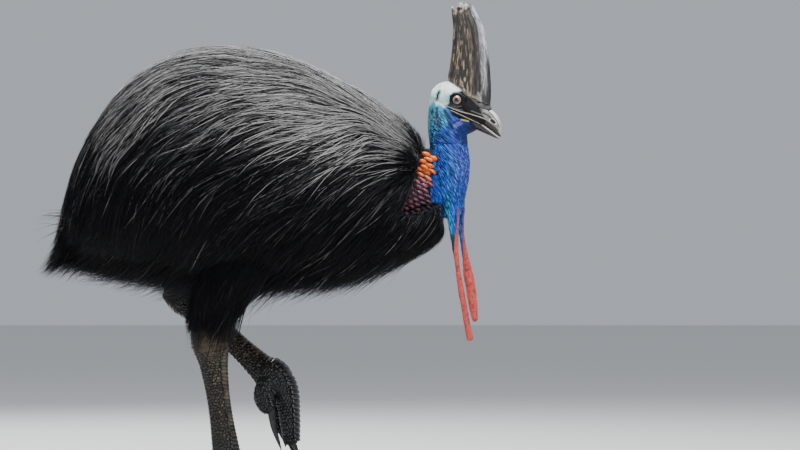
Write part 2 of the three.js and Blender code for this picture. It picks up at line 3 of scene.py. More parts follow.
import bpy
import numpy as np
from mathutils.bvhtree import BVHTree
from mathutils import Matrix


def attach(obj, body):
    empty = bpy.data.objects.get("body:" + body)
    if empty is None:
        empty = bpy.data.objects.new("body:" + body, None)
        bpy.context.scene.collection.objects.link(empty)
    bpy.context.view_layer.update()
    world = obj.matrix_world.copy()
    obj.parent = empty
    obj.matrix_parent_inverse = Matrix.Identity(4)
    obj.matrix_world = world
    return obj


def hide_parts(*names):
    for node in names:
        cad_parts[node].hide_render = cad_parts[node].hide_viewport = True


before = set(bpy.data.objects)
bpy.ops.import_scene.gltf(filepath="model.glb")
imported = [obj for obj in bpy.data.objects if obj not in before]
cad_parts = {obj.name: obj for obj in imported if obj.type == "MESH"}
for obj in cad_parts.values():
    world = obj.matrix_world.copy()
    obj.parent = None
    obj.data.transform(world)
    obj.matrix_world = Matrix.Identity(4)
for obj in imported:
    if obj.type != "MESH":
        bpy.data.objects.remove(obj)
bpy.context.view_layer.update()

rng = np.random.default_rng(20)
mm = 0.001

# Tables below are in millimetres in the bird's own frame, whose middle plane is y 0.
bird = {
    "middle": np.array([0.0, 15.0, 0.0]),  # from the bird's frame to the frame of the part
    "head": np.array([505.0, 0.0, 867.0]),  # midway between the eyes
    "headTurn": math.radians(-13),
}


# Small helpers
def norm(a):
    return np.linalg.norm(a, axis=-1)


def unit(a):
    return a / np.maximum(np.linalg.norm(a, axis=-1, keepdims=True), 1e-9)


def dot(a, b):
    return np.sum(a * b, axis=-1, keepdims=True)


def fade(low, high, x):
    t = np.clip((x - low) / (high - low), 0, 1)
    return t * t * (3 - 2 * t)


def lattice(cell, seed):
    h = cell[..., 0] * 374761393 + cell[..., 1] * 668265263 + cell[..., 2] * 1440662683 + seed * 974711
    h = h & 0xFFFFFFFF
    h = ((h ^ (h >> 13)) * 1274126177) & 0xFFFFFFFF
    return ((h ^ (h >> 16)) & 0xFFFF) / 32767.5 - 1


# Smooth noise from -1 to 1 with lumps of the given size
def noise(points, size, seed=0):
    q = points / np.asarray(size, float)
    cell = np.floor(q).astype(np.int64)
    f = q - cell
    f = f * f * (3 - 2 * f)
    total = 0.0
    for corner in np.ndindex(2, 2, 2):
        weight = np.prod(np.where(np.array(corner), f, 1 - f), axis=-1)
        total = total + weight * lattice(cell + np.array(corner), seed)
    return total


# The row of a table at t from 0 to 1, on a smooth curve through all its rows
def along(table, t):
    table = np.asarray(table, float)
    place = np.clip(t, 0, 1) * (len(table) - 1)
    i = np.minimum(place.astype(int), len(table) - 2)
    f = (place - i)[..., None]
    a, b, c, d = (table[np.clip(i + k, 0, len(table) - 1)] for k in (-1, 0, 1, 2))
    return b + 0.5 * f * (c - a + f * (2 * a - 5 * b + 4 * c - d + f * (3 * b - a - 3 * c + d)))


def turned(a, b, angle):
    c, s = math.cos(angle), math.sin(angle)
    return a * c - b * s, a * s + b * c


def inFrame(points):
    return (points + bird["middle"]) * mm


def headInFrame(points):
    x, y = turned(points[..., 0], points[..., 1], bird["headTurn"])
    return inFrame(np.stack([x, y, points[..., 2]], axis=-1) + bird["head"])


# From the part's frame back to the bird's and to the head's
def inBird(points):
    return points / mm - bird["middle"]


def inHead(points):
    x, y, z = (inBird(points) - bird["head"]).T
    return np.stack([*turned(x, y, -bird["headTurn"]), z], axis=-1)


# Stations are x, y, z, half depth and half width; the width runs along side
def limbPoints(stations, t, deep, wide, past=0.0, side=(0, 1, 0)):
    row = along(stations, t)
    ahead = unit(along(stations, t + 0.01)[..., :3] - along(stations, t - 0.01)[..., :3])
    side = np.broadcast_to(np.asarray(side, float), ahead.shape)
    wideAxis = unit(side - ahead * dot(side, ahead))
    deepAxis = np.cross(wideAxis, ahead)
    spread = deepAxis * (deep * row[..., 3])[..., None] + wideAxis * (wide * row[..., 4])[..., None]
    return row[..., :3] + ahead * np.asarray(past)[..., None] + spread


def coords(piece):
    flat = np.empty(len(piece.data.vertices) * 3)
    piece.data.vertices.foreach_get("co", flat)
    return flat.reshape(-1, 3)


def vertexNormals(piece):
    flat = np.empty(len(piece.data.vertices) * 3)
    piece.data.vertices.foreach_get("normal", flat)
    return flat.reshape(-1, 3)


def setCoords(piece, points):
    piece.data.vertices.foreach_set("co", np.ascontiguousarray(points, dtype=float).ravel())
    piece.data.update()


def select(*pieces):
    bpy.ops.object.select_all(action="DESELECT")
    for piece in pieces:
        piece.select_set(True)
    bpy.context.view_layer.objects.active = pieces[0]


def faceOut(piece):
    select(piece)
    bpy.ops.object.mode_set(mode="EDIT")
    bpy.ops.mesh.select_all(action="SELECT")
    bpy.ops.mesh.normals_make_consistent(inside=False)
    bpy.ops.object.mode_set(mode="OBJECT")
    bpy.ops.object.shade_smooth()


def newSphere(segments, rings, radius=1):
    bpy.ops.object.select_all(action="DESELECT")
    bpy.ops.mesh.primitive_uv_sphere_add(segments=segments, ring_count=rings, radius=radius)
    return bpy.context.object


# Which ring of a new sphere each of its points is on, and its turn round the sphere
def ringsAndTurns(piece, rings):
    ball = coords(piece)
    row = np.round(np.arccos(np.clip(ball[:, 2], -1, 1)) / math.pi * rings)
    return row, np.arctan2(ball[:, 1], ball[:, 0])


# A ball drawn out along its stations, with a dome of the given height at each end
def limb(name, stations, rings=40, sides=28, ends=(0, 0), side=(0, 1, 0), swell=None, head=False):
    piece = newSphere(sides, rings)
    piece.name = name
    row, turn = ringsAndTurns(piece, rings)
    dome = min(5, rings // 4)
    t = np.clip((row - dome) / (rings - 2 * dome), 0, 1)
    over = np.clip(np.maximum(dome - row, row - rings + dome), 0, None) / dome
    rise = over * math.pi / 2
    past = np.where(row < rings / 2, -ends[0], ends[1]) * np.sin(rise)
    size = np.cos(rise)
    if swell:
        size = size * swell(t, np.cos(turn), np.sin(turn))
    points = limbPoints(stations, t, np.cos(turn) * size, np.sin(turn) * size, past, side)
    setCoords(piece, headInFrame(points) if head else inFrame(points))
    faceOut(piece)
    return piece


def joinPieces(name, pieces):
    select(*pieces)
    bpy.ops.object.join()
    whole = bpy.context.object
    whole.name = name
    return whole


def applied(piece, kind, **settings):
    select(piece)
    modifier = piece.modifiers.new(kind.lower(), kind)
    for key, value in settings.items():
        setattr(modifier, key, value)
    bpy.ops.object.modifier_apply(modifier=modifier.name)


def remeshed(piece, voxel, rounds):
    applied(piece, "REMESH", mode="VOXEL", voxel_size=voxel)
    if rounds:
        applied(piece, "SMOOTH", factor=0.5, iterations=rounds)


def combined(piece, other, operation):
    applied(piece, "BOOLEAN", object=other, operation=operation, solver="MANIFOLD")
    bpy.data.objects.remove(other)


def joinedMesh(name, points, faces):
    mesh = bpy.data.meshes.new(name)
    mesh.vertices.add(len(points))
    mesh.vertices.foreach_set("co", np.ascontiguousarray(points, dtype=np.float32).ravel())
    mesh.loops.add(faces.size)
    mesh.loops.foreach_set("vertex_index", faces.astype(np.int32).ravel())
    mesh.polygons.add(len(faces))
    mesh.polygons.foreach_set("loop_start", np.arange(0, faces.size, faces.shape[1], dtype=np.int32))
    mesh.update(calc_edges=True)
    mesh.polygons.foreach_set("use_smooth", np.ones(len(faces), dtype=bool))
    piece = bpy.data.objects.new(name, mesh)
    bpy.context.collection.objects.link(piece)
    return piece


# Copies of one shape as one list of points and one of faces
def gathered(shapes, faces):
    numbers = (faces[None] + np.arange(len(shapes))[:, None, None] * shapes.shape[1]).reshape(-1, 3)
    return shapes.reshape(-1, 3), numbers


def setValue(piece, name, values):
    layer = piece.data.attributes.new(name, "FLOAT", "POINT")
    layer.data.foreach_set("value", np.ascontiguousarray(values, dtype=np.float32).ravel())


def setVector(piece, name, values):
    layer = piece.data.attributes.new(name, "FLOAT_VECTOR", "POINT")
    layer.data.foreach_set("vector", values.astype(np.float32).ravel())


# Lays colours over one another; each layer is a colour and how much of it each point takes
def paint(piece, base, layers):
    colour = np.tile(np.asarray(base, float), (len(piece.data.vertices), 1))
    for shade, share in layers:
        share = np.clip(share, 0, 1)[:, None]
        colour = colour * (1 - share) + np.asarray(shade, float) * share
    colour = np.column_stack([colour, np.ones(len(colour))])
    layer = piece.data.attributes.new("paint", "FLOAT_COLOR", "POINT")
    layer.data.foreach_set("color", colour.astype(np.float32).ravel())


# Distance of points from the line through the given places
def fromLine(points, line):
    line = np.asarray(line, float)
    best = np.full(len(points), 1e9)
    for a, b in zip(line[:-1], line[1:]):
        t = np.clip(((points - a) @ (b - a)) / max((b - a) @ (b - a), 1e-9), 0, 1)
        best = np.minimum(best, norm(points - a - t[:, None] * (b - a)))
    return best


# Which points of the side view lie inside an outline
def inside(outline, x, z):
    outline = np.asarray(outline, float)
    hit = np.zeros(len(x), dtype=bool)
    for (ax, az), (bx, bz) in zip(outline, np.roll(outline, -1, axis=0)):
        spans = (az > z) != (bz > z)
        with np.errstate(divide="ignore", invalid="ignore"):
            hit ^= spans & (x < (bx - ax) * (z - az) / (bz - az) + ax)
    return hit


# Materials
def newMaterial(name):
    material = bpy.data.materials.new(name)
    material.use_nodes = True
    return material, material.node_tree, material.node_tree.nodes["Principled BSDF"]


# Gives a node its inputs, in order or by name: nodes and sockets are linked, values are set
def feed(node, *inOrder, **byName):
    for key, value in [*enumerate(inOrder), *byName.items()]:
        socket = node.inputs[key.replace("_", " ") if isinstance(key, str) else key]
        if isinstance(value, bpy.types.Node):
            value = value.outputs[0]
        if isinstance(value, bpy.types.NodeSocket):
            node.id_data.links.new(value, socket)
        elif value is not None:
            socket.default_value = value


# A new node: names of its settings start with a small letter, those of its inputs with a capital
def addNode(tree, kind, *inOrder, **named):
    node = tree.nodes.new("ShaderNode" + kind)
    for key in [key for key in named if key[0].islower()]:
        setattr(node, key, named.pop(key))
    feed(node, *inOrder, **named)
    return node


def maths(tree, operation, *values):
    return addNode(tree, "Math", *values, operation=operation)


def mapped(tree, value, **limits):
    return addNode(tree, "MapRange", Value=value, **limits)


def dimmed(tree, colour, by):
    return addNode(tree, "VectorMath", colour, Scale=by, operation="SCALE")


def attribute(tree, name, output="Fac"):
    return addNode(tree, "Attribute", attribute_name=name).outputs[output]


def objectPlace(tree):
    return addNode(tree, "TexCoord").outputs["Object"]


def overlaid(tree, share, under, over):
    between = [None] * 5  # inputs of the node for other kinds of data
    return addNode(tree, "Mix", share, *between, under, (*over, 1), data_type="RGBA").outputs[2]


def ramp(tree, value, stops):
    node = addNode(tree, "ValToRGB", value)
    for k, (place, colour) in enumerate(stops):
        stop = node.color_ramp.elements[k] if k < 2 else node.color_ramp.elements.new(place)
        stop.position = place
        stop.color = (*colour, 1)
    return node


def newGroup(name, inputs, outputs):
    group = bpy.data.node_groups.new(name, "ShaderNodeTree")
    for way, sockets in (("INPUT", inputs), ("OUTPUT", outputs)):
        for socket, kind in sockets.items():
            group.interface.new_socket(socket, in_out=way, socket_type="NodeSocket" + kind)
    return group, group.nodes.new("NodeGroupInput").outputs, group.nodes.new("NodeGroupOutput")


# Grain of a surface: fine and broad lumps that shade the colour and stand as relief
def makeGrainGroup():
    inputs = {"Vector": "Vector", "Color": "Color", "Fine": "Float", "Broad": "Float", "Shade": "Float"}
    group, given, made = newGroup("surfaceGrain", inputs, {"Color": "Color", "Height": "Float"})
    vector = given["Vector"]
    fine = addNode(group, "TexNoise", Vector=vector, Scale=given["Fine"], Detail=4.0, Roughness=0.6)
    broad = addNode(group, "TexNoise", Vector=vector, Scale=given["Broad"], Detail=3.0, Roughness=0.55)
    both = maths(group, "MULTIPLY_ADD", fine, 0.5, broad)
    low = maths(group, "SUBTRACT", 1.0, given["Shade"])
    level = mapped(group, both, From_Min=0.45, From_Max=1.05, To_Min=1.0, To_Max=low)
    feed(made, Color=dimmed(group, given["Color"], level), Height=both)
    return group


# Mask of one straight stroke: one within its radius, fading over the soft edge
def makeStrokeGroup():
    inputs = {"Place": "Vector", "From": "Vector", "To": "Vector", "Radius": "Float", "Edge": "Float"}
    group, given, made = newGroup("strokeMask", inputs, {"Mask": "Float"})

    def vectorMath(operation, first, second, output=0):
        return addNode(group, "VectorMath", first, second, operation=operation).outputs[output]

    whole = vectorMath("SUBTRACT", given["To"], given["From"])
    apart = vectorMath("SUBTRACT", given["Place"], given["From"])
    onto, full = (vectorMath("DOT_PRODUCT", part, whole, "Value") for part in (apart, whole))
    share = addNode(group, "Math", onto, full, operation="DIVIDE", use_clamp=True)
    away = vectorMath("DISTANCE", apart, dimmed(group, whole, share), "Value")
    feed(made, Mask=mapped(group, away, From_Min=given["Edge"], From_Max=given["Radius"]))
    return group


grainGroup = makeGrainGroup()
strokeGroup = makeStrokeGroup()


# Draws fine strokes over a colour; they are given in side view, in the head's own millimetres
def drawStrokes(tree, colour, strokes):
    if not strokes:
        return colour
    turn = -bird["headTurn"]
    x, y, z = -(bird["middle"] + bird["head"])
    inHeadNode = addNode(
        tree, "Mapping", Vector=objectPlace(tree), Location=(*turned(x, y, turn), z),
        Rotation=(0, 0, turn), Scale=(1 / mm, 1 / mm, 1 / mm),
    )
    side = addNode(tree, "VectorMath", inHeadNode, (1, 0, 1), operation="MULTIPLY")
    for line, radius, soft, tint, share in strokes:
        mask = None
        for (ax, az), (bx, bz) in zip(line[:-1], line[1:]):
            stroke = addNode(
                tree, "Group", node_tree=strokeGroup, Place=side,
                From=(ax, 0, az), To=(bx, 0, bz), Radius=radius, Edge=radius + soft,
            )
            mask = stroke if mask is None else maths(tree, "MAXIMUM", mask, stroke)
        colour = overlaid(tree, maths(tree, "MULTIPLY", mask, share), colour, tint)
    return colour


# Ends a material: grain shades its colour, and stands as relief on top of any coarser one
def addGrain(tree, shader, vector, colour, fine, broad, shade, relief, depth, coarse=None, part=1):
    grain = addNode(
        tree, "Group", node_tree=grainGroup, Vector=vector, Color=colour, Fine=fine, Broad=broad, Shade=shade,
    )
    height = grain.outputs["Height"]
    if coarse is not None:
        height = maths(tree, "MULTIPLY_ADD", height, part, coarse)
    bump = addNode(tree, "Bump", Height=height, Strength=relief, Distance=depth)
    feed(shader, Base_Color=grain, Normal=bump)


# A painted surface: its own colours, shaded and roughened by grain
def paintedMaterial(
    name, roughness, fine, broad, shade, relief, depth, stretch=None, strokes=(), **constants,
):
    material, tree, shader = newMaterial(name)
    vector = objectPlace(tree)
    if stretch:
        vector = addNode(tree, "Mapping", Vector=vector, Rotation=stretch["turn"], Scale=stretch["scale"])
    colour = drawStrokes(tree, attribute(tree, "paint", "Color"), strokes)
    addGrain(tree, shader, vector, colour, fine, broad, shade, relief, depth)
    feed(shader, Roughness=roughness, **constants)
    return material


def dress(piece, material, slot, *nodes):
    piece.data.materials.clear()
    piece.data.materials.append(material)
    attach(piece, "root")
    if nodes:
        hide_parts(*nodes)


# Camera, floor and light
camera = bpy.data.objects.new("camera", bpy.data.cameras.new("camera"))
bpy.context.collection.objects.link(camera)
camera.data.lens = 140
camera.data.sensor_width = 36
camera.location = (0.378, -7.0, 0.441)
camera.rotation_euler = (math.radians(90) + math.atan2(0.142, 7.0), 0, 0)
bpy.context.scene.camera = camera

bpy.ops.object.select_all(action="DESELECT")
bpy.ops.mesh.primitive_plane_add(size=60, location=(0, 0, 0))
floor = bpy.context.object
floor.name = "floor"
floorMaterial, _, floorShader = newMaterial("paleFloor")
feed(floorShader, Base_Color=(0.74, 0.74, 0.73, 1), Roughness=0.8)
floor.data.materials.append(floorMaterial)

world = bpy.data.worlds.new("studio")
bpy.context.scene.world = world
world.use_nodes = True
feed(world.node_tree.nodes["Background"], Color=(0.86, 0.91, 1.0, 1), Strength=0.5)

lamps = {
    "overhead": {"place": (0.5, -1.0, 3.4), "aim": (0.1, 0, 0.8), "size": 2.0, "watts": 190},
    "front": {"place": (2.4, -4.4, 2.2), "aim": (0.25, 0, 0.7), "size": 2.4, "watts": 85},
    "rim": {"place": (-1.2, 2.6, 2.9), "aim": (0.1, 0, 0.9), "size": 2.0, "watts": 130},
}
for name, lamp in lamps.items():
    data = bpy.data.lights.new(name, "AREA")
    data.size = lamp["size"]
    data.energy = lamp["watts"]
    light = bpy.data.objects.new(name, data)
    bpy.context.collection.objects.link(light)
    place = np.array(lamp["place"])
    light.location = place
    aim = np.array(lamp["aim"]) - place
    yaw = math.atan2(aim[1], aim[0])
    light.rotation_euler = (math.acos(-aim[2] / np.linalg.norm(aim)), 0, yaw - math.pi / 2)
print("stage ready")

# The body's own surface, under the coat
coat = {
    "sections": [  # back x, back z, belly x, belly z, half width
        [430, 752, 480, 592, 58],
        [371, 837, 477, 527, 104],
        [232, 923, 389, 473, 166],
        [86, 981, 221, 439, 206],
        [-72, 990, 18, 434, 216],
        [-207, 932, -162, 446, 198],
        [-315, 801, -297, 470, 148],
        [-378, 628, -374, 493, 70],
    ],
    "back": 20, "side": 24, "belly": 44,  # from the core to the coat's outline
    "frontShare": 0.25,  # of that depth, at the breast
    "open": [  # outline of the bare neck in side view
        [444, 764], [421, 727], [414, 695], [404, 668], [393, 648], [372, 612],
        [400, 601], [427, 611], [452, 626], [474, 632], [486, 600], [530, 600], [530, 775],
    ],
    "hem": [  # outline of the coat in side view
        [443, 770], [412, 797], [356, 848], [266, 904], [153, 958], [63, 986], [-27, 995],
        [-117, 981], [-207, 932], [-275, 864], [-330, 774], [-369, 684], [-391, 576], [-403, 520],
        [-410, 494], [-353, 484], [-274, 468], [-185, 448], [-140, 432], [-40, 398], [8, 370], [42, 386],
        [70, 426], [153, 436], [266, 434], [356, 457], [423, 490], [468, 526], [484, 549], [500, 610],
    ],
    "strands": 38500, "legStrands": 3800, "collar": 2600, "nape": 700, "wisps": 22,
    "rows": 5,  # stretches of each strand
}
# How the strands lie: x, z and degrees below straight back
comb = np.array([
    [425, 755, -50], [372, 825, -38], [250, 905, -26], [60, 975, -6], [-100, 975, 6],
    [-230, 900, 38], [-330, 760, 64], [-380, 620, 72], [-392, 560, 58], [-400, 505, 40],
    [395, 730, 15], [385, 640, 52], [260, 760, 28], [150, 640, 34], [300, 560, 42], [455, 560, 30],
    [380, 500, 52], [120, 870, 10], [40, 560, 46], [150, 450, 62], [-50, 760, 28], [-120, 600, 58],
    [-200, 780, 48], [-260, 620, 66], [-330, 520, 56], [-180, 480, 62], [-20, 430, 72], [60, 380, 80],
    [-60, 350, 76], [300, 465, 62], [400, 500, 58], [200, 442, 66], [-120, 450, 68], [-230, 478, 62],
])


def frontGrowth(u):
    return coat["frontShare"] + (1 - coat["frontShare"]) * np.clip(u / 0.3, 0, 1)


def torsoPoints(u, v, out=0.0):
    backX, backZ, bellyX, bellyZ, half = np.moveaxis(along(coat["sections"], u), -1, 0)
    up, wide = np.cos(2 * math.pi * v), np.sin(2 * math.pi * v)
    spine = np.stack([backX - bellyX, 0 * backX, backZ - bellyZ], axis=-1)
    tall = norm(spine) / 2
    grown = frontGrowth(u)
    inset = grown * np.where(up > 0, coat["back"], coat["belly"])
    width = (half - grown * coat["side"] + out) * np.sign(wide) * np.abs(wide) ** 0.88
    centre = np.stack([(backX + bellyX) / 2, 0 * backX, (backZ + bellyZ) / 2], axis=-1)
    points = centre + unit(spine) * (up * (tall - inset + out))[..., None]
    points[..., 1] = -width * (1 - 0.1 * up)
    return points


def lieAt(points):
    dx = points[..., 0, None] - comb[:, 0]
    dz = points[..., 2, None] - comb[:, 1]
    weight = 1 / (dx ** 2 + dz ** 2 + 900) ** 1.5
    down = np.radians(comb[:, 2])
    x, z = (weight * np.cos(down)).sum(-1), (weight * np.sin(down)).sum(-1)
    return unit(np.stack([-x, 0 * x, -z], axis=-1))


def bodyForm():
    rings, dome, rump = 60, 5, 16
    piece = newSphere(96, rings)
    row, turn = ringsAndTurns(piece, rings)
    v = turn / (2 * math.pi)
    u = np.clip((row - dome) / (rings - 2 * dome), 0, 1)
    rise = np.clip(np.maximum(dome - row, row - rings + dome), 0, None) / dome * math.pi / 2
    middle = (torsoPoints(u, 0 * v) + torsoPoints(u, 0 * v + 0.5)) / 2
    points = middle + (torsoPoints(u, v, -3) - middle) * np.cos(rise)[:, None]
    points[:, 0] -= np.where(row > rings / 2, rump, -4) * np.sin(rise)
    setCoords(piece, inFrame(points))
    faceOut(piece)
    return piece


# A prism through the bird, from its outline in side view
def throughCut(outline, place, reach=300):
    outline = np.asarray(outline, float)
    bpy.ops.object.select_all(action="DESELECT")
    bpy.ops.mesh.primitive_circle_add(vertices=len(outline), fill_type="NGON")
    piece = bpy.context.object
    side = np.column_stack([outline[:, 0], 0 * outline[:, 0] - reach, outline[:, 1]])
    setCoords(piece, place(side))
    across = place(np.array([[0.0, reach, 0.0]])) - place(np.array([[0.0, -reach, 0.0]]))
    bpy.ops.object.mode_set(mode="EDIT")
    bpy.ops.mesh.select_all(action="SELECT")
    bpy.ops.mesh.extrude_region_move(TRANSFORM_OT_translate={"value": tuple(across[0])})
    bpy.ops.mesh.select_all(action="SELECT")
    bpy.ops.mesh.normals_make_consistent(inside=False)
    bpy.ops.object.mode_set(mode="OBJECT")
    return piece


neck = {
    "column": [
        [481, 0, 840, 34, 25],
        [484, 0, 806, 43, 34],
        [488, 0, 764, 43, 37],
        [493, 0, 712, 43, 37],
        [489, 0, 660, 39, 33],
        [487, 0, 615, 30, 24],
    ],
    "base": [
        [366, 0, 628, 58, 62],
        [398, 0, 652, 70, 62],
        [426, 0, 672, 68, 50],
        [452, 0, 692, 50, 28],
    ],
    "web": [[416, 0, 670, 40, 36], [434, 0, 710, 33, 29], [446, 0, 742, 25, 21]],
    "folds": [  # turn round the column from its front, from and to along it, half width
        [74, 0.46, 0.95, 1.1],
        [97, 0.62, 0.98, 1.0],
    ],
    "wattleRight": [
        [492, -15, 664, 12, 6],
        [497, -21, 612, 15, 5.5],
        [500, -23, 560, 10, 4.5],
        [506, -23, 500, 5.5, 4.5],
        [515, -22, 438, 7, 6],
        [527, -21, 370, 7.5, 7],
        [535, -21, 328, 8, 7.5],
    ],
    "wattleLeft": [
        [514, 8, 668, 12, 6],
        [514, 15, 616, 11, 5],
        [517, 18, 566, 6.5, 5],
        [525, 19, 516, 7, 6],
        [533, 19, 468, 11, 8],
        [541, 18, 418, 11, 8],
        [547, 17, 372, 7.5, 7],
    ],
}


def columnPoints(t, turn, out=0.0):
    deep, wide = -np.cos(turn), np.sin(turn)
    row = along(neck["column"], t)
    scale = 1 + out / row[..., 3]
    return limbPoints(neck["column"], t, deep * scale, wide * scale)


# Grains of the wattles: small lumps all over, larger towards the tips
def wattleForm(name):
    def grains(t, deep, wide):
        points = limbPoints(neck[name], t, deep, wide)
        return 1 + 0.14 * fade(0.25, 0.5, t) * noise(points, 4.2, 5) + 0.05 * noise(points, 12, 6)
    return limb(name, neck[name], rings=150, sides=24, ends=(0, 8), swell=grains)


# Bulbs lie in slanting rows over the bare base: large and orange above, smaller and purple below
bulbField = {
    "outline": [
        [449, 766], [458, 742], [456, 712], [452, 690], [447, 662], [450, 640], [449, 622], [434, 609],
        [400, 602], [374, 604], [374, 614], [392, 648], [403, 668], [413, 695], [421, 727], [436, 758],
    ],
    "seat": [415, 680], "slope": -28, "row": 9.3, "apart": 17.0, "half": [8.2, 4.15, 4.7],
}


def bulbPlaces():
    t, turn = np.meshgrid(np.linspace(0, 1, 90), np.linspace(-1.5, 1.5, 120))
    t, turn = t.ravel(), turn.ravel()
    surface = np.vstack([limbPoints(neck[name], t, np.sin(turn), np.cos(turn)) for name in ("base", "web")])
    down = math.radians(bulbField["slope"])
    ahead = np.array([math.cos(down), math.sin(down)])
    across = np.array([-math.sin(down), math.cos(down)])
    places, frames, sizes, lows = [], [], [], []
    for row in range(-12, 13):
        for k in range(-8, 9):
            low = float(np.clip(0.5 - row / 12, 0, 1))
            step = bulbField["apart"] * (1.25 - 0.25 * low)
            seat = np.array(bulbField["seat"]) + across * row * bulbField["row"]
            seat = seat + ahead * (k + 0.5 * (row % 2)) * step
            seat = seat + rng.uniform(-0.6, 0.6, 2)
            if not inside(bulbField["outline"], seat[:1], seat[1:])[0]:
                continue
            # the outermost point of the flesh at this place in side view
            close = norm(surface[:, [0, 2]] - seat) < 2.5
            if not close.any():
                continue
            place = surface[close][np.argmax(surface[close][:, 1])]
            place = np.array([seat[0], place[1] + 0.6, seat[1]])
            out = unit(place - np.array([place[0] - 4, 0, place[2] * 0.6 + 0.4 * 665]))
            tilt = down + math.radians(rng.uniform(-9, 9))
            grown = 1.12 - 0.20 * low + rng.uniform(-0.06, 0.06)
            for side in (-1, 1):
                mirrored = np.array([1, side, 1])
                normal = out * mirrored
                long = np.array([math.cos(tilt), 0, math.sin(tilt)])
                long = unit(long - normal * (long @ normal))
                places.append(place * mirrored)
                frames.append([long, np.cross(normal, long), normal])
                sizes.append(np.array(bulbField["half"]) * grown * [1.30 - 0.30 * low, 1, 1])
                lows.append(float(fade(715, 650, place[2])))
    return np.array(places), np.array(frames), np.array(sizes), np.array(lows)


bulbs = bulbPlaces()


def bulbForm():
    places, frames, sizes, _ = bulbs
    bpy.ops.object.select_all(action="DESELECT")
    bpy.ops.mesh.primitive_ico_sphere_add(subdivisions=2, radius=1)
    pod = bpy.context.object
    shape = coords(pod)
    faces = np.array([p.vertices[:] for p in pod.data.polygons])
    bpy.data.objects.remove(pod)
    points = places[:, None] + np.einsum("nij,ki,ni->nkj", frames, shape, sizes)
    points, numbers = gathered(points, faces)
    return joinedMesh("bulbs", inFrame(points), numbers)


head = {
    "skull": [
        [-42, 0, 0, 29, 24],
        [-22, 0, 3, 38, 30],
        [6, 0, -9, 36, 31],
        [32, 0, -28, 27, 26],
        [54, 0, -43, 20, 19],
        [68, 0, -53, 14, 14],
    ],
    "throat": [
        [-20, 0, -40, 28, 24],
        [17, 0, -57, 25, 20],
        [44, 0, -61, 11, 13],
    ],
    "nape": [[-36, 0, 2, 25, 23], [-31, 0, -20, 34, 28], [-26, 0, -46, 40, 33], [-23, 0, -72, 42, 34]],
    "crown": [[-14, 0, 14, 19, 21], [8, 0, 8, 22, 21], [30, 0, -7, 23, 19], [50, 0, -22, 18, 16]],
    "cere": [[54, 0, -18, 15, 14], [66, 0, -21, 12.5, 12.5], [76, 0, -27, 9, 10]],
    "billUpper": [
        [44, 0, -26, 20, 16],
        [64, 0, -37, 20.5, 14.5],
        [80, 0, -49, 18.5, 12],
        [92, 0, -63, 14.5, 9],
        [98, 0, -75.5, 8.9, 6],
        [100.6, 0, -83, 3.2, 2.6],
    ],
    "billLower": [
        [32, 0, -46, 16, 15],
        [56, 0, -59, 14, 13],
        [78, 0, -73.5, 9.5, 9.5],
        [97, 0, -87, 4.2, 4.5],
    ],
    "gape": [
        [[-14, 27.5, -18], [16, 27, -30], [38, 22, -36], [56, 17, -43]],
        [[-6, 26.5, -27], [12, 25.5, -36], [34, 20.5, -46], [52, 15.5, -54]],
    ],
    "mouth": {"x": 64, "z": -59, "slope": 38},
    "nostril": {"x": 86, "y": 9.8, "z": -51, "slope": 42},
    "eye": {"x": 6, "y": 16.5, "z": -3, "radius": 15},
    "ear": {"x": -39, "y": 22, "z": 8},
    "rings": {  # round what, moved by, turn, stretch, radius and thickness
        "lids": ("eye", [0, 8.6, 0], 0.06, [1, 0.98, 1], 14.4, 2.5),
        "brow": ("eye", [2, 7.2, 3], 0.15, [1.1, 0.9, 1], 18.5, 1.7),
        "earRim": ("ear", [0, 1, 0], -0.25, [1, 1.25, 1], 6.4, 2.0),
    },
    "casque": [  # rear x, rear z, front x, front z, half thickness
        [-14, 30, 78, -17, 20],
        [-19, 52, 80, 12, 19.5],
        [-14, 82, 78.5, 58, 17.5],
        [-9, 130, 73, 110, 14],
        [-8, 168, 63, 160, 11.5],
        [-12, 203, 43, 202, 9.5],
    ],
    "casqueTip": [15, 0, 219.6],
    "chip": [[-16, 226], [-6, 206], [-2, 188], [4, 214], [4, 226]],
}


def ring(name, place, turn, stretch, major, minor):
    bpy.ops.object.select_all(action="DESELECT")
    bpy.ops.mesh.primitive_torus_add(
        major_segments=64, minor_segments=20, major_radius=major, minor_radius=minor,
    )
    piece = bpy.context.object
    piece.name = name
    # the ring's axis runs across the head
    x, y, z = (coords(piece) * np.asarray(stretch))[:, [0, 2, 1]].T * [[1], [-1], [1]]
    points = np.column_stack([*turned(x, y, turn), z])
    setCoords(piece, headInFrame(points + np.asarray(place, float)))
    faceOut(piece)
    return piece


def roundForm(place, radii, segments):
    piece = newSphere(segments, 32)
    setCoords(piece, headInFrame(coords(piece) * np.asarray(radii, float) + np.asarray(place, float)))
    return piece


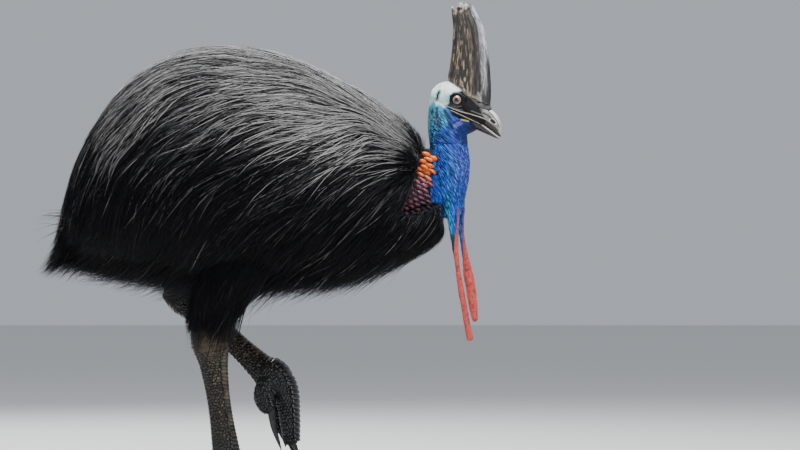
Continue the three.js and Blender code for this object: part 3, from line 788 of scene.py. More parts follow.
def headForms():
    skull = limb("skull", head["skull"], rings=60, sides=64, ends=(16, 0), head=True)
    eye = head["eye"]
    for side in (-1, 1):
        # the eye stands in a shallow dish
        dish = [eye["x"] + 1, side * (eye["y"] + 24.5), eye["z"]]
        combined(skull, roundForm(dish, [21, 16.5, 19], 64), "DIFFERENCE")
    forms = [skull]
    for name, ends in (("nape", (12, 10)), ("crown", (12, 10)), ("cere", (8, 4))):
        forms.append(limb(name, head[name], rings=36, sides=40, ends=ends, head=True))
    forms.append(limb("throat", head["throat"], rings=30, sides=32, ends=(4, 6), head=True))
    for side in (-1, 1):
        for name, (what, moved, turn, stretch, major, minor) in head["rings"].items():
            x, y, z = (head[what][axis] + by for axis, by in zip("xyz", moved))
            forms.append(ring(name, [x, side * y, z], turn * side, stretch, major, minor))
        # the corner of the mouth and the folds behind it
        for line in head["gape"]:
            stations = [[x, side * (y - 0.4), z, 1.9, 1.9] for x, y, z in line]
            forms.append(limb("gape", stations, rings=24, sides=10, ends=(2, 2), head=True))
    return forms


# Legs
legs = {
    "right": {
        "thigh": [
            [66, -84, 560, 72, 48],
            [-12, -84, 448, 60, 46],
            [-42, -66, 388, 49, 37],
            [-47, -59, 345, 44, 33],
        ],
        "hock": [-47, -57, 327], "ball": [-8, -15, 46], "ballDepth": 31,
    },
    "left": {
        "thigh": [
            [78, 92, 610, 76, 48],
            [0, 104, 530, 68, 48],
            [-76, 100, 466, 52, 38],
            [-110, 97, 438, 44, 33],
        ],
        "hock": [-115, 96, 424], "ball": [90, 46, 236], "ballDepth": 35,
        "knuckle": [[72, 50, 258, 32, 29], [96, 46, 240, 34, 31], [112, 43, 212, 29, 27]],
    },
}
for leg in legs.values():
    leg["hock"], leg["ball"] = np.array(leg["hock"], float), np.array(leg["ball"], float)
toeKinds = {
    "middle": {"spread": 2, "length": 156, "depths": [25, 20, 18, 13.5], "nail": 44, "nailRoot": 10},
    "inner": {"spread": 38, "length": 90, "depths": [22, 20, 17, 14], "nail": 98, "nailRoot": 10},
    "outer": {"spread": -36, "length": 112, "depths": [22, 18, 15, 12], "nail": 36, "nailRoot": 8.5},
}
liftedToes = {
    "inner": {
        "points": [[82, 34, 226], [71, 24, 200], [76, 20, 178], [85, 18, 166]],
        "depths": [25, 23, 19, 14],
        "nail": {"from": [86, 18, 170], "to": [110, 14, 76], "bow": [-4, 0, 0], "root": 9},
    },
    "middle": {
        "points": [[102, 44, 240], [119, 42, 206], [126, 40, 150], [131, 40, 92]],
        "depths": [28, 25, 21, 16],
        "nail": {"from": [132, 40, 92], "to": [147, 40, 44], "bow": [3, 0, 0], "root": 9.5},
    },
    "outer": {
        "points": [[92, 58, 228], [98, 70, 198], [104, 76, 156], [108, 78, 116]],
        "depths": [24, 20, 16, 12.5],
        "nail": {"from": [108, 78, 116], "to": [118, 78, 80], "bow": [2, 0, 0], "root": 8},
    },
}


def shankStations(leg):
    hock, ball = leg["hock"], leg["ball"]
    deep = leg["ballDepth"]
    rows = [
        (-0.12, 34, 27), (0.03, 40, 31), (0.2, 30, 24), (0.4, 24.5, 19.5), (0.6, 23.5, 19),
        (0.8, 25 + 0.25 * (deep - 25), 21), (1, deep, 31),
    ]
    return [[*(hock + (ball - hock) * t), d, w] for t, d, w in rows]


# Each toe: its stations, the axis its width runs along, and its claw's stations
def toeShapes(name):
    shapes = {}
    for kind, toe in toeKinds.items():
        if name == "right":
            turn = math.radians(toe["spread"])
            ahead = np.array([math.cos(turn), math.sin(turn), 0])
            side = np.array([-math.sin(turn), math.cos(turn), 0])
            start = legs["right"]["ball"] + ahead * 8
            points = [start + ahead * toe["length"] * i / 3 for i in range(4)]
            for p, depth in zip(points, toe["depths"]):
                p[2] = depth * 0.8
            depths = toe["depths"]
            root = points[3] * [1, 1, 0] + [0, 0, 13]
            end = root + ahead * toe["nail"]
            end[2] = 3.5
            bow, nailRoot = np.array([0, 0, 3]), toe["nailRoot"]
        else:
            lifted = liftedToes[kind]
            side = np.array([0.0, 1.0, 0.0])
            points, depths = [np.array(p, float) for p in lifted["points"]], lifted["depths"]
            root, end = np.array(lifted["nail"]["from"], float), np.array(lifted["nail"]["to"], float)
            bow, nailRoot = np.array(lifted["nail"]["bow"]), lifted["nail"]["root"]
        middle = (root + end) / 2 + bow
        line = [root, root + (middle - root) * 0.55, middle, middle + (end - middle) * 0.6, end]
        deeps, wides = (1, 0.92, 0.7, 0.42, 0.1), (0.8, 0.72, 0.55, 0.34, 0.1)
        shapes[kind] = {
            "flesh": [[*p, d, d * 0.92] for p, d in zip(points, depths)],
            "side": side,
            "claw": [[*p, nailRoot * d, nailRoot * w] for p, d, w in zip(line, deeps, wides)],
        }
    return shapes


toes = {name: toeShapes(name) for name in legs}


# The heel's cord stands out behind the shank
def cord(_, deep, wide):
    return 1 + 0.1 * np.clip(deep, 0, 1) ** 3 - 0.06 * np.clip(deep, 0, 1) * wide ** 2


# The joints of a toe swell a little, and its pads bulge below between them
def pads(t, deep, _):
    return 1 + 0.07 * np.sin(t * 3 * 2 * math.pi) * (0.4 + 0.6 * np.clip(deep, 0, 1))


def legForms():
    forms = []
    for name, leg in legs.items():
        forms.append(limb("shank", shankStations(leg), rings=70, sides=40, ends=(10, 14), swell=cord))
        if name == "right":
            x, y, z = leg["ball"]
            ballOfFoot = [[x, y, z, 30, 30], [x, y, 20, 33, 31]]
            forms.append(limb("pad", ballOfFoot, rings=24, sides=32, ends=(6, 24)))
        else:
            forms.append(limb("knuckle", leg["knuckle"], rings=30, sides=32, ends=(12, 12)))
        for kind, toe in toes[name].items():
            forms.append(limb(kind, toe["flesh"], 60, 32, ends=(4, 7), side=toe["side"], swell=pads))
    return forms


# One skin for all the flesh; each part has its own size of voxel, in metres
voxels = {"body": 0.010, "legs": 0.0040, "neck": 0.0023, "head": 0.0013, "casque": 0.0013, "bill": 0.0011}
bodyShell = bodyForm()
combined(bodyShell, throughCut(coat["open"], inFrame), "DIFFERENCE")
thighs = []
for leg in legs.values():
    stations = [[x, y, z, d - 3, w - 3] for x, y, z, d, w in leg["thigh"]]
    thighs.append(limb("thigh", stations, ends=(20, 6)))
skin = joinPieces("skin", [bodyShell, *thighs])
remeshed(skin, voxels["body"], 4)
bareLegs = joinPieces("bareLegs", legForms())
remeshed(bareLegs, voxels["legs"], 1)
print("legs formed")


# Half width and line of each fold of the neck, on both sides
def foldLines(out):
    for side in (-1, 1):
        for turn, first, last, width in neck["folds"]:
            t = np.linspace(first, last, 9)
            wave = 0.04 * np.sin(t * 9 + turn)
            yield width, columnPoints(t, side * (math.radians(turn) + wave), out)


folds = []
for width, line in foldLines(0.5):
    folds.append(limb("fold", [[*p, width, width] for p in line], rings=40, sides=12, ends=(3, 3)))
throatFloor = -100  # the head is finer than the neck down to here


def headBlock(low, high):
    return throughCut([[-160, low], [160, low], [160, high], [-160, high]], headInFrame, reach=120)


bareNeck = joinPieces("bareNeck", [
    *headForms(),
    limb("column", neck["column"], rings=60, sides=48, ends=(10, 18)),
    limb("base", neck["base"], rings=40, sides=48, ends=(4, 4)),
    limb("web", neck["web"], rings=30, sides=40, ends=(8, 12)),
    wattleForm("wattleRight"),
    wattleForm("wattleLeft"),
    *folds,
])
bareHead = bareNeck.copy()
bareHead.data = bareNeck.data.copy()
bpy.context.collection.objects.link(bareHead)
remeshed(bareNeck, voxels["neck"], 1)
remeshed(bareHead, voxels["head"], 3)
combined(bareNeck, headBlock(throatFloor, 200), "DIFFERENCE")
combined(bareHead, headBlock(-600, throatFloor - 0.5), "DIFFERENCE")
print("head and neck formed")

for part in (bareLegs, bareNeck, bareHead, bulbForm()):
    combined(skin, part, "UNION")

# The neck's strokes run slanting under the head and steeper below: how far a stroke has moved
# forward at each height
strokeDrift = [[560, 8], [600, 0], [650, -13], [700, -38], [760, -89], [850, -179], [900, -229]]


def strokePlace(place):
    x, y, z = place.T
    drift = np.array(strokeDrift, float)
    return np.column_stack([x - np.interp(z, drift[:, 0], drift[:, 1]), y, z])


# Relief of the bare skin: strokes on the neck, creases at the hock, scales on the legs
def wrinkleSkin():
    points, normals = coords(skin), vertexNormals(skin)
    place = inBird(points)
    x, _, z = place.T
    onNeck = fade(0, 25, x - np.interp(z, [600, 780], [372, 440])) * fade(596, 610, z) * fade(858, 835, z)
    lift = 0.6 * onNeck * noise(strokePlace(place), [4.6, 4.6, 26], 3)
    for leg in legs.values():
        lift += fade(70, 30, norm(place - leg["hock"])) * 0.9 * noise(place, [14, 14, 4.5], 8)
    lift += 0.55 * fade(432, 426, z) * (np.abs(x) < 200) * noise(place, [5.2, 5.2, 4.2], 9)
    points += normals * (lift * mm)[:, None]
    points[:, 2] = np.maximum(points[:, 2], 0)
    setCoords(skin, points)


wrinkleSkin()
for side in (-1, 1):
    x, y, z, radius = head["eye"].values()
    combined(skin, roundForm([x, side * y, z], radius + 0.25, 48), "DIFFERENCE")
select(skin)
bpy.ops.object.shade_smooth()
print("skin", sum(len(p.vertices) - 2 for p in skin.data.polygons), "triangles")


# Colours of the bare skin, by region
tints = {
    "underCoat": (0.004, 0.004, 0.0045),
    "cobalt": (0.007, 0.055, 0.360),
    "deepBlue": (0.006, 0.014, 0.080),
    "turquoise": (0.030, 0.300, 0.460),
    "violet": (0.100, 0.095, 0.460),
    "paleBlue": (0.640, 0.830, 0.820),
    "palest": (0.860, 0.930, 0.880),
    "slate": (0.100, 0.230, 0.230),
    "black": (0.0045, 0.0045, 0.005),
    "grey": (0.090, 0.088, 0.088),
    "orange": (0.860, 0.130, 0.010),
    "paleOrange": (0.950, 0.360, 0.090),
    "pink": (0.330, 0.120, 0.150),
    "purple": (0.085, 0.024, 0.052),
    "wattle": (0.640, 0.090, 0.075),
    "wattleDark": (0.260, 0.030, 0.036),
    "leg": (0.014, 0.011, 0.009),
    "hock": (0.160, 0.118, 0.062),
    "toe": (0.014, 0.014, 0.015),
    "bulbGleam": (0.260, 0.120, 0.200),
    "cheek": (0.004, 0.018, 0.045),
    # painted shade on the pale crown
    "crown": (0.330, 0.560, 0.520),
}

# Patches on both sides of the head, seen from the side: outline, softness, colour, share
crownOutline = [
    [-16, 46], [-49, 30], [-80, 10], [-76, -22], [-49, -13], [-43, -17], [-34, -21], [-19, -17],
    [-9, -11], [-8, 10], [6, 16], [22, 19], [10, 34],
]
headPatches = [
    ([[-80, -10], [-48, -14], [-30, -22], [-14, -18], [-6, -40], [-22, -66], [-44, -84], [-70, -120],
      [-90, -90]], 10, "turquoise", 0.6),
    (crownOutline, 5, "paleBlue", 1),
    ([[-20, 34], [-44, 24], [-40, 14], [-22, 20], [-8, 14], [8, 20], [-2, 30]], 4, "palest", 0.9),
    ([[-42, -2], [-30, -6], [-17, -12], [-24, -16], [-38, -14]], 2.5, "palest", 0.9),
    ([[-17, 8], [-9, 7], [-9, -9], [-18, -6]], 2.5, "turquoise", 0.6),
    ([[-15, -16], [-9, -9], [-9, 7], [0, 13], [14, 15], [22, 24], [60, 20], [96, -8], [90, -60], [70, -84],
      [45, -72], [33, -51], [16, -46], [-3, -39], [-8, -28]], 2.2, "black", 1),
    ([[16, -46], [33, -50], [52, -56], [66, -70], [56, -88], [34, -98], [24, -112], [8, -96], [0, -66],
      [4, -52]], 6, "deepBlue", 0.85),
    ([[26, -58], [50, -60], [50, -76], [32, -82]], 6, "black", 0.7),
    ([[-4, -60], [14, -49], [21, -56], [2, -67]], 2, "violet", 0.9),
    ([[-60, -12], [-44, -17], [-31, -26], [-24, -40], [-30, -60], [-44, -56], [-56, -36]], 7, "slate", 0.6),
    ([[-30, -20], [-18, -22], [-8, -38], [-20, -60], [-30, -50], [-26, -36]], 4, "deepBlue", 0.6),
]
# Strokes: x and z along the stroke, radius, softness, colour, share
headStrokes = [
    ([[6, -3], [7, -3]], 15, 1.5, "black", 1),
    ([[-34, 17], [-37, 9], [-39.5, -1]], 3.6, 3, "slate", 0.8),
    ([[-47, -10], [-45, -34]], 2, 2.5, "slate", 0.8),
    ([[-34, -18], [-26, -38], [-18, -58]], 3, 5, "turquoise", 0.9),
    ([[-52, -12], [-50, -40], [-54, -70]], 4, 6, "turquoise", 0.7),
    ([[-39, -20], [-36, -44], [-30, -66]], 1.5, 3, "deepBlue", 0.8),
    ([[-20, -27], [-8, -46], [-2, -66]], 2, 2, "deepBlue", 0.9),
    ([[24, 13], [40, 1], [52, -12]], 1.6, 2.2, "grey", 0.7),
    ([[58, -14], [66, -22], [78, -20], [84, -18]], 3.4, 2.4, "grey", 0.9),
]
# Fine strokes drawn by the materials: x and z along the stroke, radius, softness, colour, share.
# The first two run on from the skin over the bill.
gapeLines = [
    ([[-15, -17], [0, -23.5], [16, -29.5], [39, -35.5], [58, -41.5], [78, -49.5], [93, -63], [104, -79]],
     0.6, 1.0, (0.44, 0.41, 0.35), 0.85),
    ([[-7, -26], [12, -35], [34, -45.5], [56, -56.5]], 0.5, 0.9, (0.36, 0.33, 0.28), 0.85),
]
skinMarks = [
    # painted shade in the ear's opening
    ([[-34, 16], [-37, 9], [-39, 1]], 1.4, 0.9, (0.0045, 0.0045, 0.005), 1),
    ([[15.8, -47], [31, -50.5]], 1.4, 0.6, (0.800, 0.600, 0.180), 1),
    ([[-9, -18.5], [6, -23.5], [20, -26]], 0.5, 0.8, (0.16, 0.16, 0.165), 0.9),
    ([[-12, -12], [-4, -17], [8, -19.5], [18, -17]], 0.5, 0.9, (0.12, 0.13, 0.13), 0.8),
    ([[2, 14.5], [16, 12.5], [26, 3]], 0.5, 0.9, (0.14, 0.14, 0.15), 0.8),
    ([[40, -28], [58, -35], [72, -40]], 0.5, 1.0, (0.15, 0.15, 0.155), 0.8),
    ([[-4, -60], [3, -52], [12, -49]], 0.6, 0.9, (0.006, 0.012, 0.05), 0.9),
    ([[-14, -46], [-6, -58], [2, -68]], 0.6, 1.0, (0.006, 0.012, 0.05), 0.9),
]
billMarks = [
    ([[83.2, -48.4], [90, -54.4]], 4.9, 1.0, (0.64, 0.62, 0.58), 0.85),
    # painted shade in the nostril's opening
    ([[84.2, -49.4], [89, -53.6]], 3.5, 0.8, (0.006, 0.005, 0.005), 1),
    ([[75, -27], [86, -38], [96, -53], [100, -64]], 0.7, 1.0, (0.010, 0.009, 0.009), 0.9),
    ([[66, -33], [76, -38], [82, -44]], 1.4, 2.2, (0.014, 0.013, 0.013), 0.85),
    ([[80, -55], [90, -61], [98, -71]], 0.5, 0.8, (0.05, 0.045, 0.042), 0.9),
]


# How far inside an outline the points lie, as a soft mask
def within(points, outline, soft):
    outline = np.asarray(outline, float)
    away = fromLine(points, np.vstack([outline, outline[:1]]))
    held = inside(outline, points[:, 0], points[:, 1])
    return fade(-soft, soft, np.where(held, away, -away))


# Where the skin is bare of coat, and which of it belongs to the wattles and the legs
def skinRegions(place):
    x, _, z = place.T
    ahead = [[380, 596], [500, 560], [640, 200], [700, 1000], [430, 1000], [430, 780]]
    bare = within(place[:, [0, 2]], coat["open"][:6] + ahead, 2)
    hangs, ahead = np.zeros(len(x)), np.zeros(len(x))
    for name in ("wattleRight", "wattleLeft"):
        line = along(neck[name], np.linspace(0, 1, 40))
        near = fade(660, 610, z) * fade(22, 15, fromLine(place, line[:, :3])) * (x > 476)
        middle = np.interp(z, line[::-1, 2], line[::-1, 0])
        depth = np.interp(z, line[::-1, 2], line[::-1, 3])
        ahead = np.where(near > hangs, (x - middle) / np.maximum(depth, 1), ahead)
        hangs = np.maximum(hangs, near)
    onLeg = ((z < 470) & (x < 260) & ~((z > 425) & (x > -60))).astype(float)
    return bare, hangs, ahead, onLeg


# The bulbs as masks on the skin: dark gaps of painted shade round them, pods, how low these lie, and their
# lit upper halves, which take painted highlights
def bulbMasks(place):
    x, _, z = place.T
    onBase = np.flatnonzero((x > 340) & (x < 480) & (z > 590) & (z < 790))
    centres, frames, sizes, lows = bulbs
    apart = place[onBase][:, None] - centres[None]
    local = np.einsum("knj,nij->kni", apart, frames) / (sizes[None] * 1.06)
    away = norm(local)
    nearest, close = away.argmin(axis=1), away.min(axis=1)
    shadedGap, pod, low, lit = (np.zeros(len(x)) for _ in range(4))
    field = within(place[onBase][:, [0, 2]], bulbField["outline"], 3)
    shadedGap[onBase] = np.maximum(fade(1.6, 1.2, close), field * fade(456, 446, x[onBase]))
    pod[onBase] = fade(1.02, 0.93, close)
    low[onBase] = np.clip(lows[nearest], 0, 1)
    upper = frames[nearest][:, :, 2] * local[np.arange(len(onBase)), nearest]
    lit[onBase] = fade(0.05, 0.65, upper.sum(axis=1))
    return shadedGap, pod, low, lit


def neckLayers(place, bare):
    x, y, z = place.T
    # turquoise behind and above, violet in front, slanting strokes
    stroke = noise(strokePlace(place), [4.6, 4.6, 26], 3)
    layers = [
        ("cobalt", bare),
        ("turquoise", bare * fade(462, 436, x) * fade(690, 800, z) * 0.6),
        ("violet", bare * fade(478, 510, x) * fade(640, 700, z) * 0.4),
        ("turquoise", bare * 0.35 * fade(0.1, 0.9, stroke)),
        ("deepBlue", bare * 0.55 * fade(-0.1, -0.8, stroke)),
    ]
    for width, line in foldLines(1.0):
        layers.append(("turquoise", fade(width + 2.0, width, fromLine(place, line)) * 0.5))
    shadedGap, pod, low, lit = bulbMasks(place)
    mottle = noise(place, 6, 12)
    # the wall of the coat beside the bulbs is dark
    wall = np.abs(y) - np.interp(x, [366, 398, 426, 452, 480], [64, 64, 54, 45, 43])
    layers += [
        # painted shade: the skin round and between the bulbs is black, except along the front of their field
        ("black", shadedGap),
        ("black", bare * fade(640, 622, z) * fade(484, 470, x)),
        ("underCoat", bare * fade(0, 5, wall) * fade(590, 600, z) * fade(490, 478, x)),
        ("orange", pod),
        # painted highlights: the lit upper halves of the bulbs take pale orange, and those of the low purple
        # ones a lilac gleam; elsewhere the pale orange follows a mottle
        ("paleOrange", pod * np.maximum(0.75 * lit, 0.6 * fade(0.2, 0.8, mottle))),
        ("pink", pod * fade(0.25, 0.5, low + 0.12 * mottle)),
        ("purple", pod * fade(0.55, 0.85, low + 0.16 * mottle)),
        ("bulbGleam", pod * 0.55 * lit * fade(0.55, 0.85, low)),
    ]
    return layers, pod


# The head is painted in patches and strokes seen from the side
def headLayers(place, h):
    onHead = fade(-118, -96, h[:, 2]) * fade(-90, -80, h[:, 0])
    near = np.flatnonzero(onHead > 0)
    flat, close = h[near][:, [0, 2]], place[near]
    rough = 3.0 * noise(close, 7, 14) + 1.5 * noise(close, 3.4, 15)
    found = []
    for outline, soft, tint, share in headPatches:
        moved = flat + rough[:, None] * min(1, soft / 5) * [0.5, 1]
        found.append((tint, within(moved, outline, soft) * share))
    for line, radius, soft, tint, share in headStrokes:
        found.append((tint, fade(radius + soft, radius, fromLine(flat, line)) * share))
    cheek = within(flat, [[-62, -14], [-30, -28], [-12, -32], [-2, -60], [-8, -104], [-62, -112]], 8)
    drawn = noise(strokePlace(close), [3.4, 3.4, 19], 17)
    found.append(("cheek", cheek * (0.22 + 0.68 * fade(0.15, -0.45, drawn))))
    # painted shade: greenish shadows mottled over the pale crown
    crown = within(flat, crownOutline, 4) * fade(0.0, 0.7, noise(close, [9, 9, 13], 16))
    found.append(("crown", crown * 0.55))
    layers = []
    for tint, share in found:
        mask = np.zeros(len(place))
        mask[near] = share
        layers.append((tint, onHead * mask))
    return layers, onHead


# Dark brown shanks, paler creased hocks with painted shade in their creases, the far hock painted near black
# as shade, and near-black toes
def legLayers(place, onLeg):
    layers = [("leg", onLeg), ("hock", onLeg * 0.25 * fade(0.3, 0.9, noise(place, [11, 11, 16], 7)))]
    for name, leg in legs.items():
        hock, ball = leg["hock"], leg["ball"]
        ahead = place[:, 0] - hock[0]
        if name == "right":
            away = norm((place - hock + [0, 0, 6]) * [1, 1, 1.15])
            nearHock = fade(62, 34, away) * fade(-40, -10, ahead)
            creased = nearHock * onLeg * (0.7 + 0.3 * noise(place, [14, 14, 5], 8))
            layers.append(("hock", creased * 0.95 * fade(-30, 6, ahead)))
            # painted shade: the grooves of the hock's creases are painted dark brown
            layers.append(("leg", 0.8 * creased * fade(-0.1, -0.6, noise(place, [14, 14, 4.5], 8))))
        else:
            # painted shade: the far leg's hock is painted near black
            layers.append(("black", onLeg * fade(120, 80, norm(place - hock)) * 0.85))
        past = (place - ball) @ unit(ball - hock)
        layers.append(("toe", onLeg * fade(-30, 10, past) * (norm(place - ball) < 230)))
    return layers


def paintSkin():
    points = coords(skin)
    place = inBird(points)
    z = place[:, 2]
    bare, hangs, ahead, onLeg = skinRegions(place)
    layers, pod = neckLayers(place, bare)
    # wattles: blue where they leave the neck, then red, the blue staying along the rear edge
    red = fade(0.45, 0.85, ahead + 1.9 * fade(600, 470, z)) * fade(632, 592, z)
    layers += [
        ("turquoise", hangs * 0.5 * fade(0.2, -0.6, ahead) * fade(520, 600, z)),
        ("pink", hangs * red),
        ("wattle", hangs * red * fade(590, 500, z)),
        ("wattleDark", hangs * red * 0.75 * fade(0.0, -0.7, noise(place, 4.2, 5))),
    ]
    more, onHead = headLayers(place, inHead(points))
    layers += more + legLayers(place, onLeg)
    paint(skin, tints["underCoat"], [(tints[tint], share) for tint, share in layers])
    return bare, hangs * red, onLeg, pod, onHead


# Lays out the fine pattern: strokes down the neck, cells on the red of the wattles and on the legs
def layPattern(bare, red, onLeg, pod, onHead):
    points = coords(skin)
    place, h = inBird(points), inHead(points)
    strokes = strokePlace(place) / [3.0, 3.0, 15.0]
    cell = np.where(red[:, None] > 0.4, place / 3.2, place / 4.6)
    celled = (red > 0.4) | (onLeg > 0)
    setVector(skin, "pattern", np.where(celled[:, None], cell, strokes))
    low = 1 - onHead * np.maximum(fade(-54, -20, h[:, 2]), fade(2, 22, h[:, 0]) * fade(-104, -84, h[:, 2]))
    setValue(skin, "strokes", np.clip(bare * (1 - red) * (1 - pod) * low, 0, 1))
    gape = np.zeros(len(place))
    for line in head["gape"]:
        gape = np.maximum(gape, low < 1) * fade(4, 2, fromLine(h[:, [0, 2]], np.array(line)[:, [0, 2]]))
    setValue(skin, "gloss", np.clip(pod + 0.35 * red + 0.5 * gape + 0.2 * onLeg * (place[:, 1] < 20), 0, 1))
    plain = fade(66, 40, norm(place - legs["right"]["hock"]))
    cells = fade(0.45, 0.9, red) * 0.7 * fade(610, 560, place[:, 2]) + onLeg * 0.8 * (1 - plain)
    setValue(skin, "cells", np.clip(cells, 0, 1))


def skinSurface():
    material, tree, shader = newMaterial("bareSkin")
    strokes, cells, gloss = (attribute(tree, name) for name in ("strokes", "cells", "gloss"))
    pattern = attribute(tree, "pattern", "Vector")
    stroke = addNode(tree, "TexNoise", Vector=pattern, Scale=1.0, Detail=2.0)
    strand = mapped(tree, stroke, From_Min=0.36, From_Max=0.66)
    crack = addNode(tree, "TexVoronoi", feature="DISTANCE_TO_EDGE", Vector=pattern, Scale=1.0)
    plate = mapped(tree, crack, From_Max=0.16)

    # one where the mask is nought, else from low to high with the value
    def blended(mask, low, high, value):
        span = mapped(tree, value, To_Min=low, To_Max=high)
        return addNode(tree, "Mix", mask, None, 1.0, span, data_type="FLOAT")

    shade = maths(tree, "MULTIPLY", blended(strokes, 0.16, 1.9, strand), blended(cells, 0.30, 1.35, plate))
    tint = dimmed(tree, attribute(tree, "paint", "Color"), shade)
    # the crests of the strokes are paler
    crest = mapped(tree, stroke, From_Min=0.58, From_Max=0.74)
    share = maths(tree, "MULTIPLY", maths(tree, "MULTIPLY", crest, strokes), 0.55)
    colour = drawStrokes(tree, overlaid(tree, share, tint, (0.16, 0.30, 0.62)), gapeLines + skinMarks)
    addGrain(
        tree, shader, objectPlace(tree), colour, fine=900, broad=210, shade=0.35,
        relief=0.8, depth=0.0011, coarse=shade, part=0.35,
    )
    feed(
        shader, Roughness=mapped(tree, gloss, To_Min=0.52, To_Max=0.24), Specular_IOR_Level=0.16,
        Coat_Weight=maths(tree, "MULTIPLY", gloss, 0.55), Coat_Roughness=0.16,
    )
    return material


layPattern(*paintSkin())
flesh = ["torso", "neck", "neck_base", "head", "wattle_right", "wattle_left"]
for part in ("drumstick", "shank", "toe_middle", "toe_inner", "toe_outer"):
    flesh += [part + "_" + name for name in legs]
dress(skin, skinSurface(), "blue_skin", *flesh)
print("skin painted")


# The casque: a tall blade of horn, round behind and keeled in front
def makeCasque():
    rings, under, dome = 100, 4, 12  # rings of the whole, of its floor and of its top
    piece = newSphere(72, rings)
    piece.name = "casque"
    row, turn = ringsAndTurns(piece, rings)
    row = rings - row
    t = np.clip((row - under) / (rings - under - dome), 0, 1)
    rearX, rearZ, frontX, frontZ, half = along(head["casque"], t).T
    ahead = (1 + np.cos(turn)) / 2
    points = np.column_stack([
        rearX + (frontX - rearX) * ahead,
        half * np.sin(turn) * (1 - 0.5 * ahead ** 2),
        rearZ + (frontZ - rearZ) * ahead,
    ])
    inwards = np.clip(under - row, 0, under) / under
    floorPoint = np.column_stack([(rearX + frontX) / 2, 0 * rearX, (rearZ + frontZ) / 2])
    points = floorPoint + (points - floorPoint) * (1 - inwards)[:, None]
    over = np.sin(np.clip(row - rings + dome, 0, dome) / dome * math.pi / 2)
    shrink = 1 - np.sqrt(1 - over ** 2)
    tip = np.array(head["casqueTip"], float)
    points = points + (tip - points) * np.column_stack([shrink, shrink, over])
    setCoords(piece, headInFrame(points))
    faceOut(piece)
    combined(piece, throughCut(head["chip"], headInFrame, reach=60), "DIFFERENCE")
    remeshed(piece, voxels["casque"], 2)
    points, normals = coords(piece), vertexNormals(piece)
    h = inHead(points)
    # each point's share of the way up the blade and from its rear edge to its keel
    tall = 200
    t = np.clip((h[:, 2] - 10) / 190, 0, 1)
    for _ in range(6):
        rearX, rearZ, frontX, frontZ, _half = along(head["casque"], t).T
        ahead = np.clip((h[:, 0] - rearX) / (frontX - rearX), 0, 1)
        t = np.clip(t + (h[:, 2] - rearZ - (frontZ - rearZ) * ahead) / tall, 0, 1)
    rise = t * tall
    laid = np.column_stack([ahead * 90, h[:, 1], rise])
    fibre = noise(laid, [3.2, 3.2, 40], 21)
    rim = fade(34, 6, rise + 16 * np.abs(ahead - 0.1))
    ribs = np.sin((rise + 3.0 * noise(h, 14, 29)) * 2 * math.pi / 5.2)
    worn = noise(h, 6, 24)
    top = fade(188, 206, h[:, 2]) * fade(34, 24, h[:, 0])
    lift = 0.55 * fibre + rim * (1.2 + 0.7 * ribs) + 1.2 * top * worn
    setCoords(piece, points + normals * (lift * mm)[:, None])
    streak, thin = noise(laid, [5, 5, 60], 25), noise(laid, [2.6, 2.6, 17], 33)
    blotch, rough = noise(h, [11, 11, 26], 28), noise(h, [7, 7, 9], 34)
    keel = fade(0.97, 0.90, ahead - 0.05 * fade(0.3, 0.8, t))
    panel = fade(0.66, 0.76, ahead + 0.05 * streak - 0.14 * t) * keel * fade(-0.45, 0.1, blotch + 0.6 * t)
    pale = fade(0.66, 0.40, ahead) * fade(0.1, 0.5, thin) * fade(-0.4, 0.2, rough)
    gold = fade(0.6, 0.1, np.abs(ahead - 0.44) * 3) * fade(130, 50, rise) * fade(0, 0.5, thin - 0.4 * rough)
    paint(piece, (0.058, 0.043, 0.032), [
        ((0.009, 0.008, 0.008), 0.8 * fade(0.15, -0.45, streak)),
        ((0.009, 0.008, 0.008), 0.9 * fade(0.15, -0.35, thin + 0.4 * rough)),
        ((0.300, 0.220, 0.140), 0.9 * pale),
        ((0.400, 0.300, 0.190), 0.8 * gold),
        ((0.290, 0.285, 0.305), 0.95 * panel * (0.6 + 0.4 * fade(-0.4, 0.3, thin))),
        ((0.012, 0.011, 0.012), 0.85 * fade(0.90, 0.97, ahead) * fade(0.75, 0.45, t)),
        ((0.480, 0.480, 0.560), 0.9 * fade(0.86, 0.93, ahead) * fade(0.45, 0.7, t)),
        ((0.560, 0.500, 0.400), 0.95 * top * fade(-0.4, 0.3, worn)),
        ((0.460, 0.350, 0.220), 0.95 * rim * fade(-0.4, 0.4, ribs) * fade(0.85, 0.6, ahead)),
        # painted shade in the grooves between the rim's ribs
        ((0.016, 0.013, 0.011), 0.7 * rim * fade(-0.3, -0.8, ribs)),
    ])
    setVector(piece, "fibres", np.column_stack([ahead * 90 / 1.5, h[:, 1] / 1.5, rise / 15]))
    dress(piece, hornBlade(), "casque", "casque")


# Horn whose fibres run up the blade
def hornBlade():
    material, tree, shader = newMaterial("hornBlade")
    lay = attribute(tree, "fibres", "Vector")
    fibre = addNode(tree, "TexNoise", Vector=lay, Scale=1.0, Detail=4.0, Roughness=0.6)
    span = mapped(tree, fibre, From_Min=0.36, From_Max=0.68, To_Min=0.25, To_Max=2.1)
    addGrain(
        tree, shader, objectPlace(tree), dimmed(tree, attribute(tree, "paint", "Color"), span),
        fine=800, broad=150, shade=0.35, relief=0.7, depth=0.0008, coarse=span, part=0.3,
    )
    feed(shader, Roughness=0.38, Coat_Weight=0.2, Coat_Roughness=0.25)
    return material


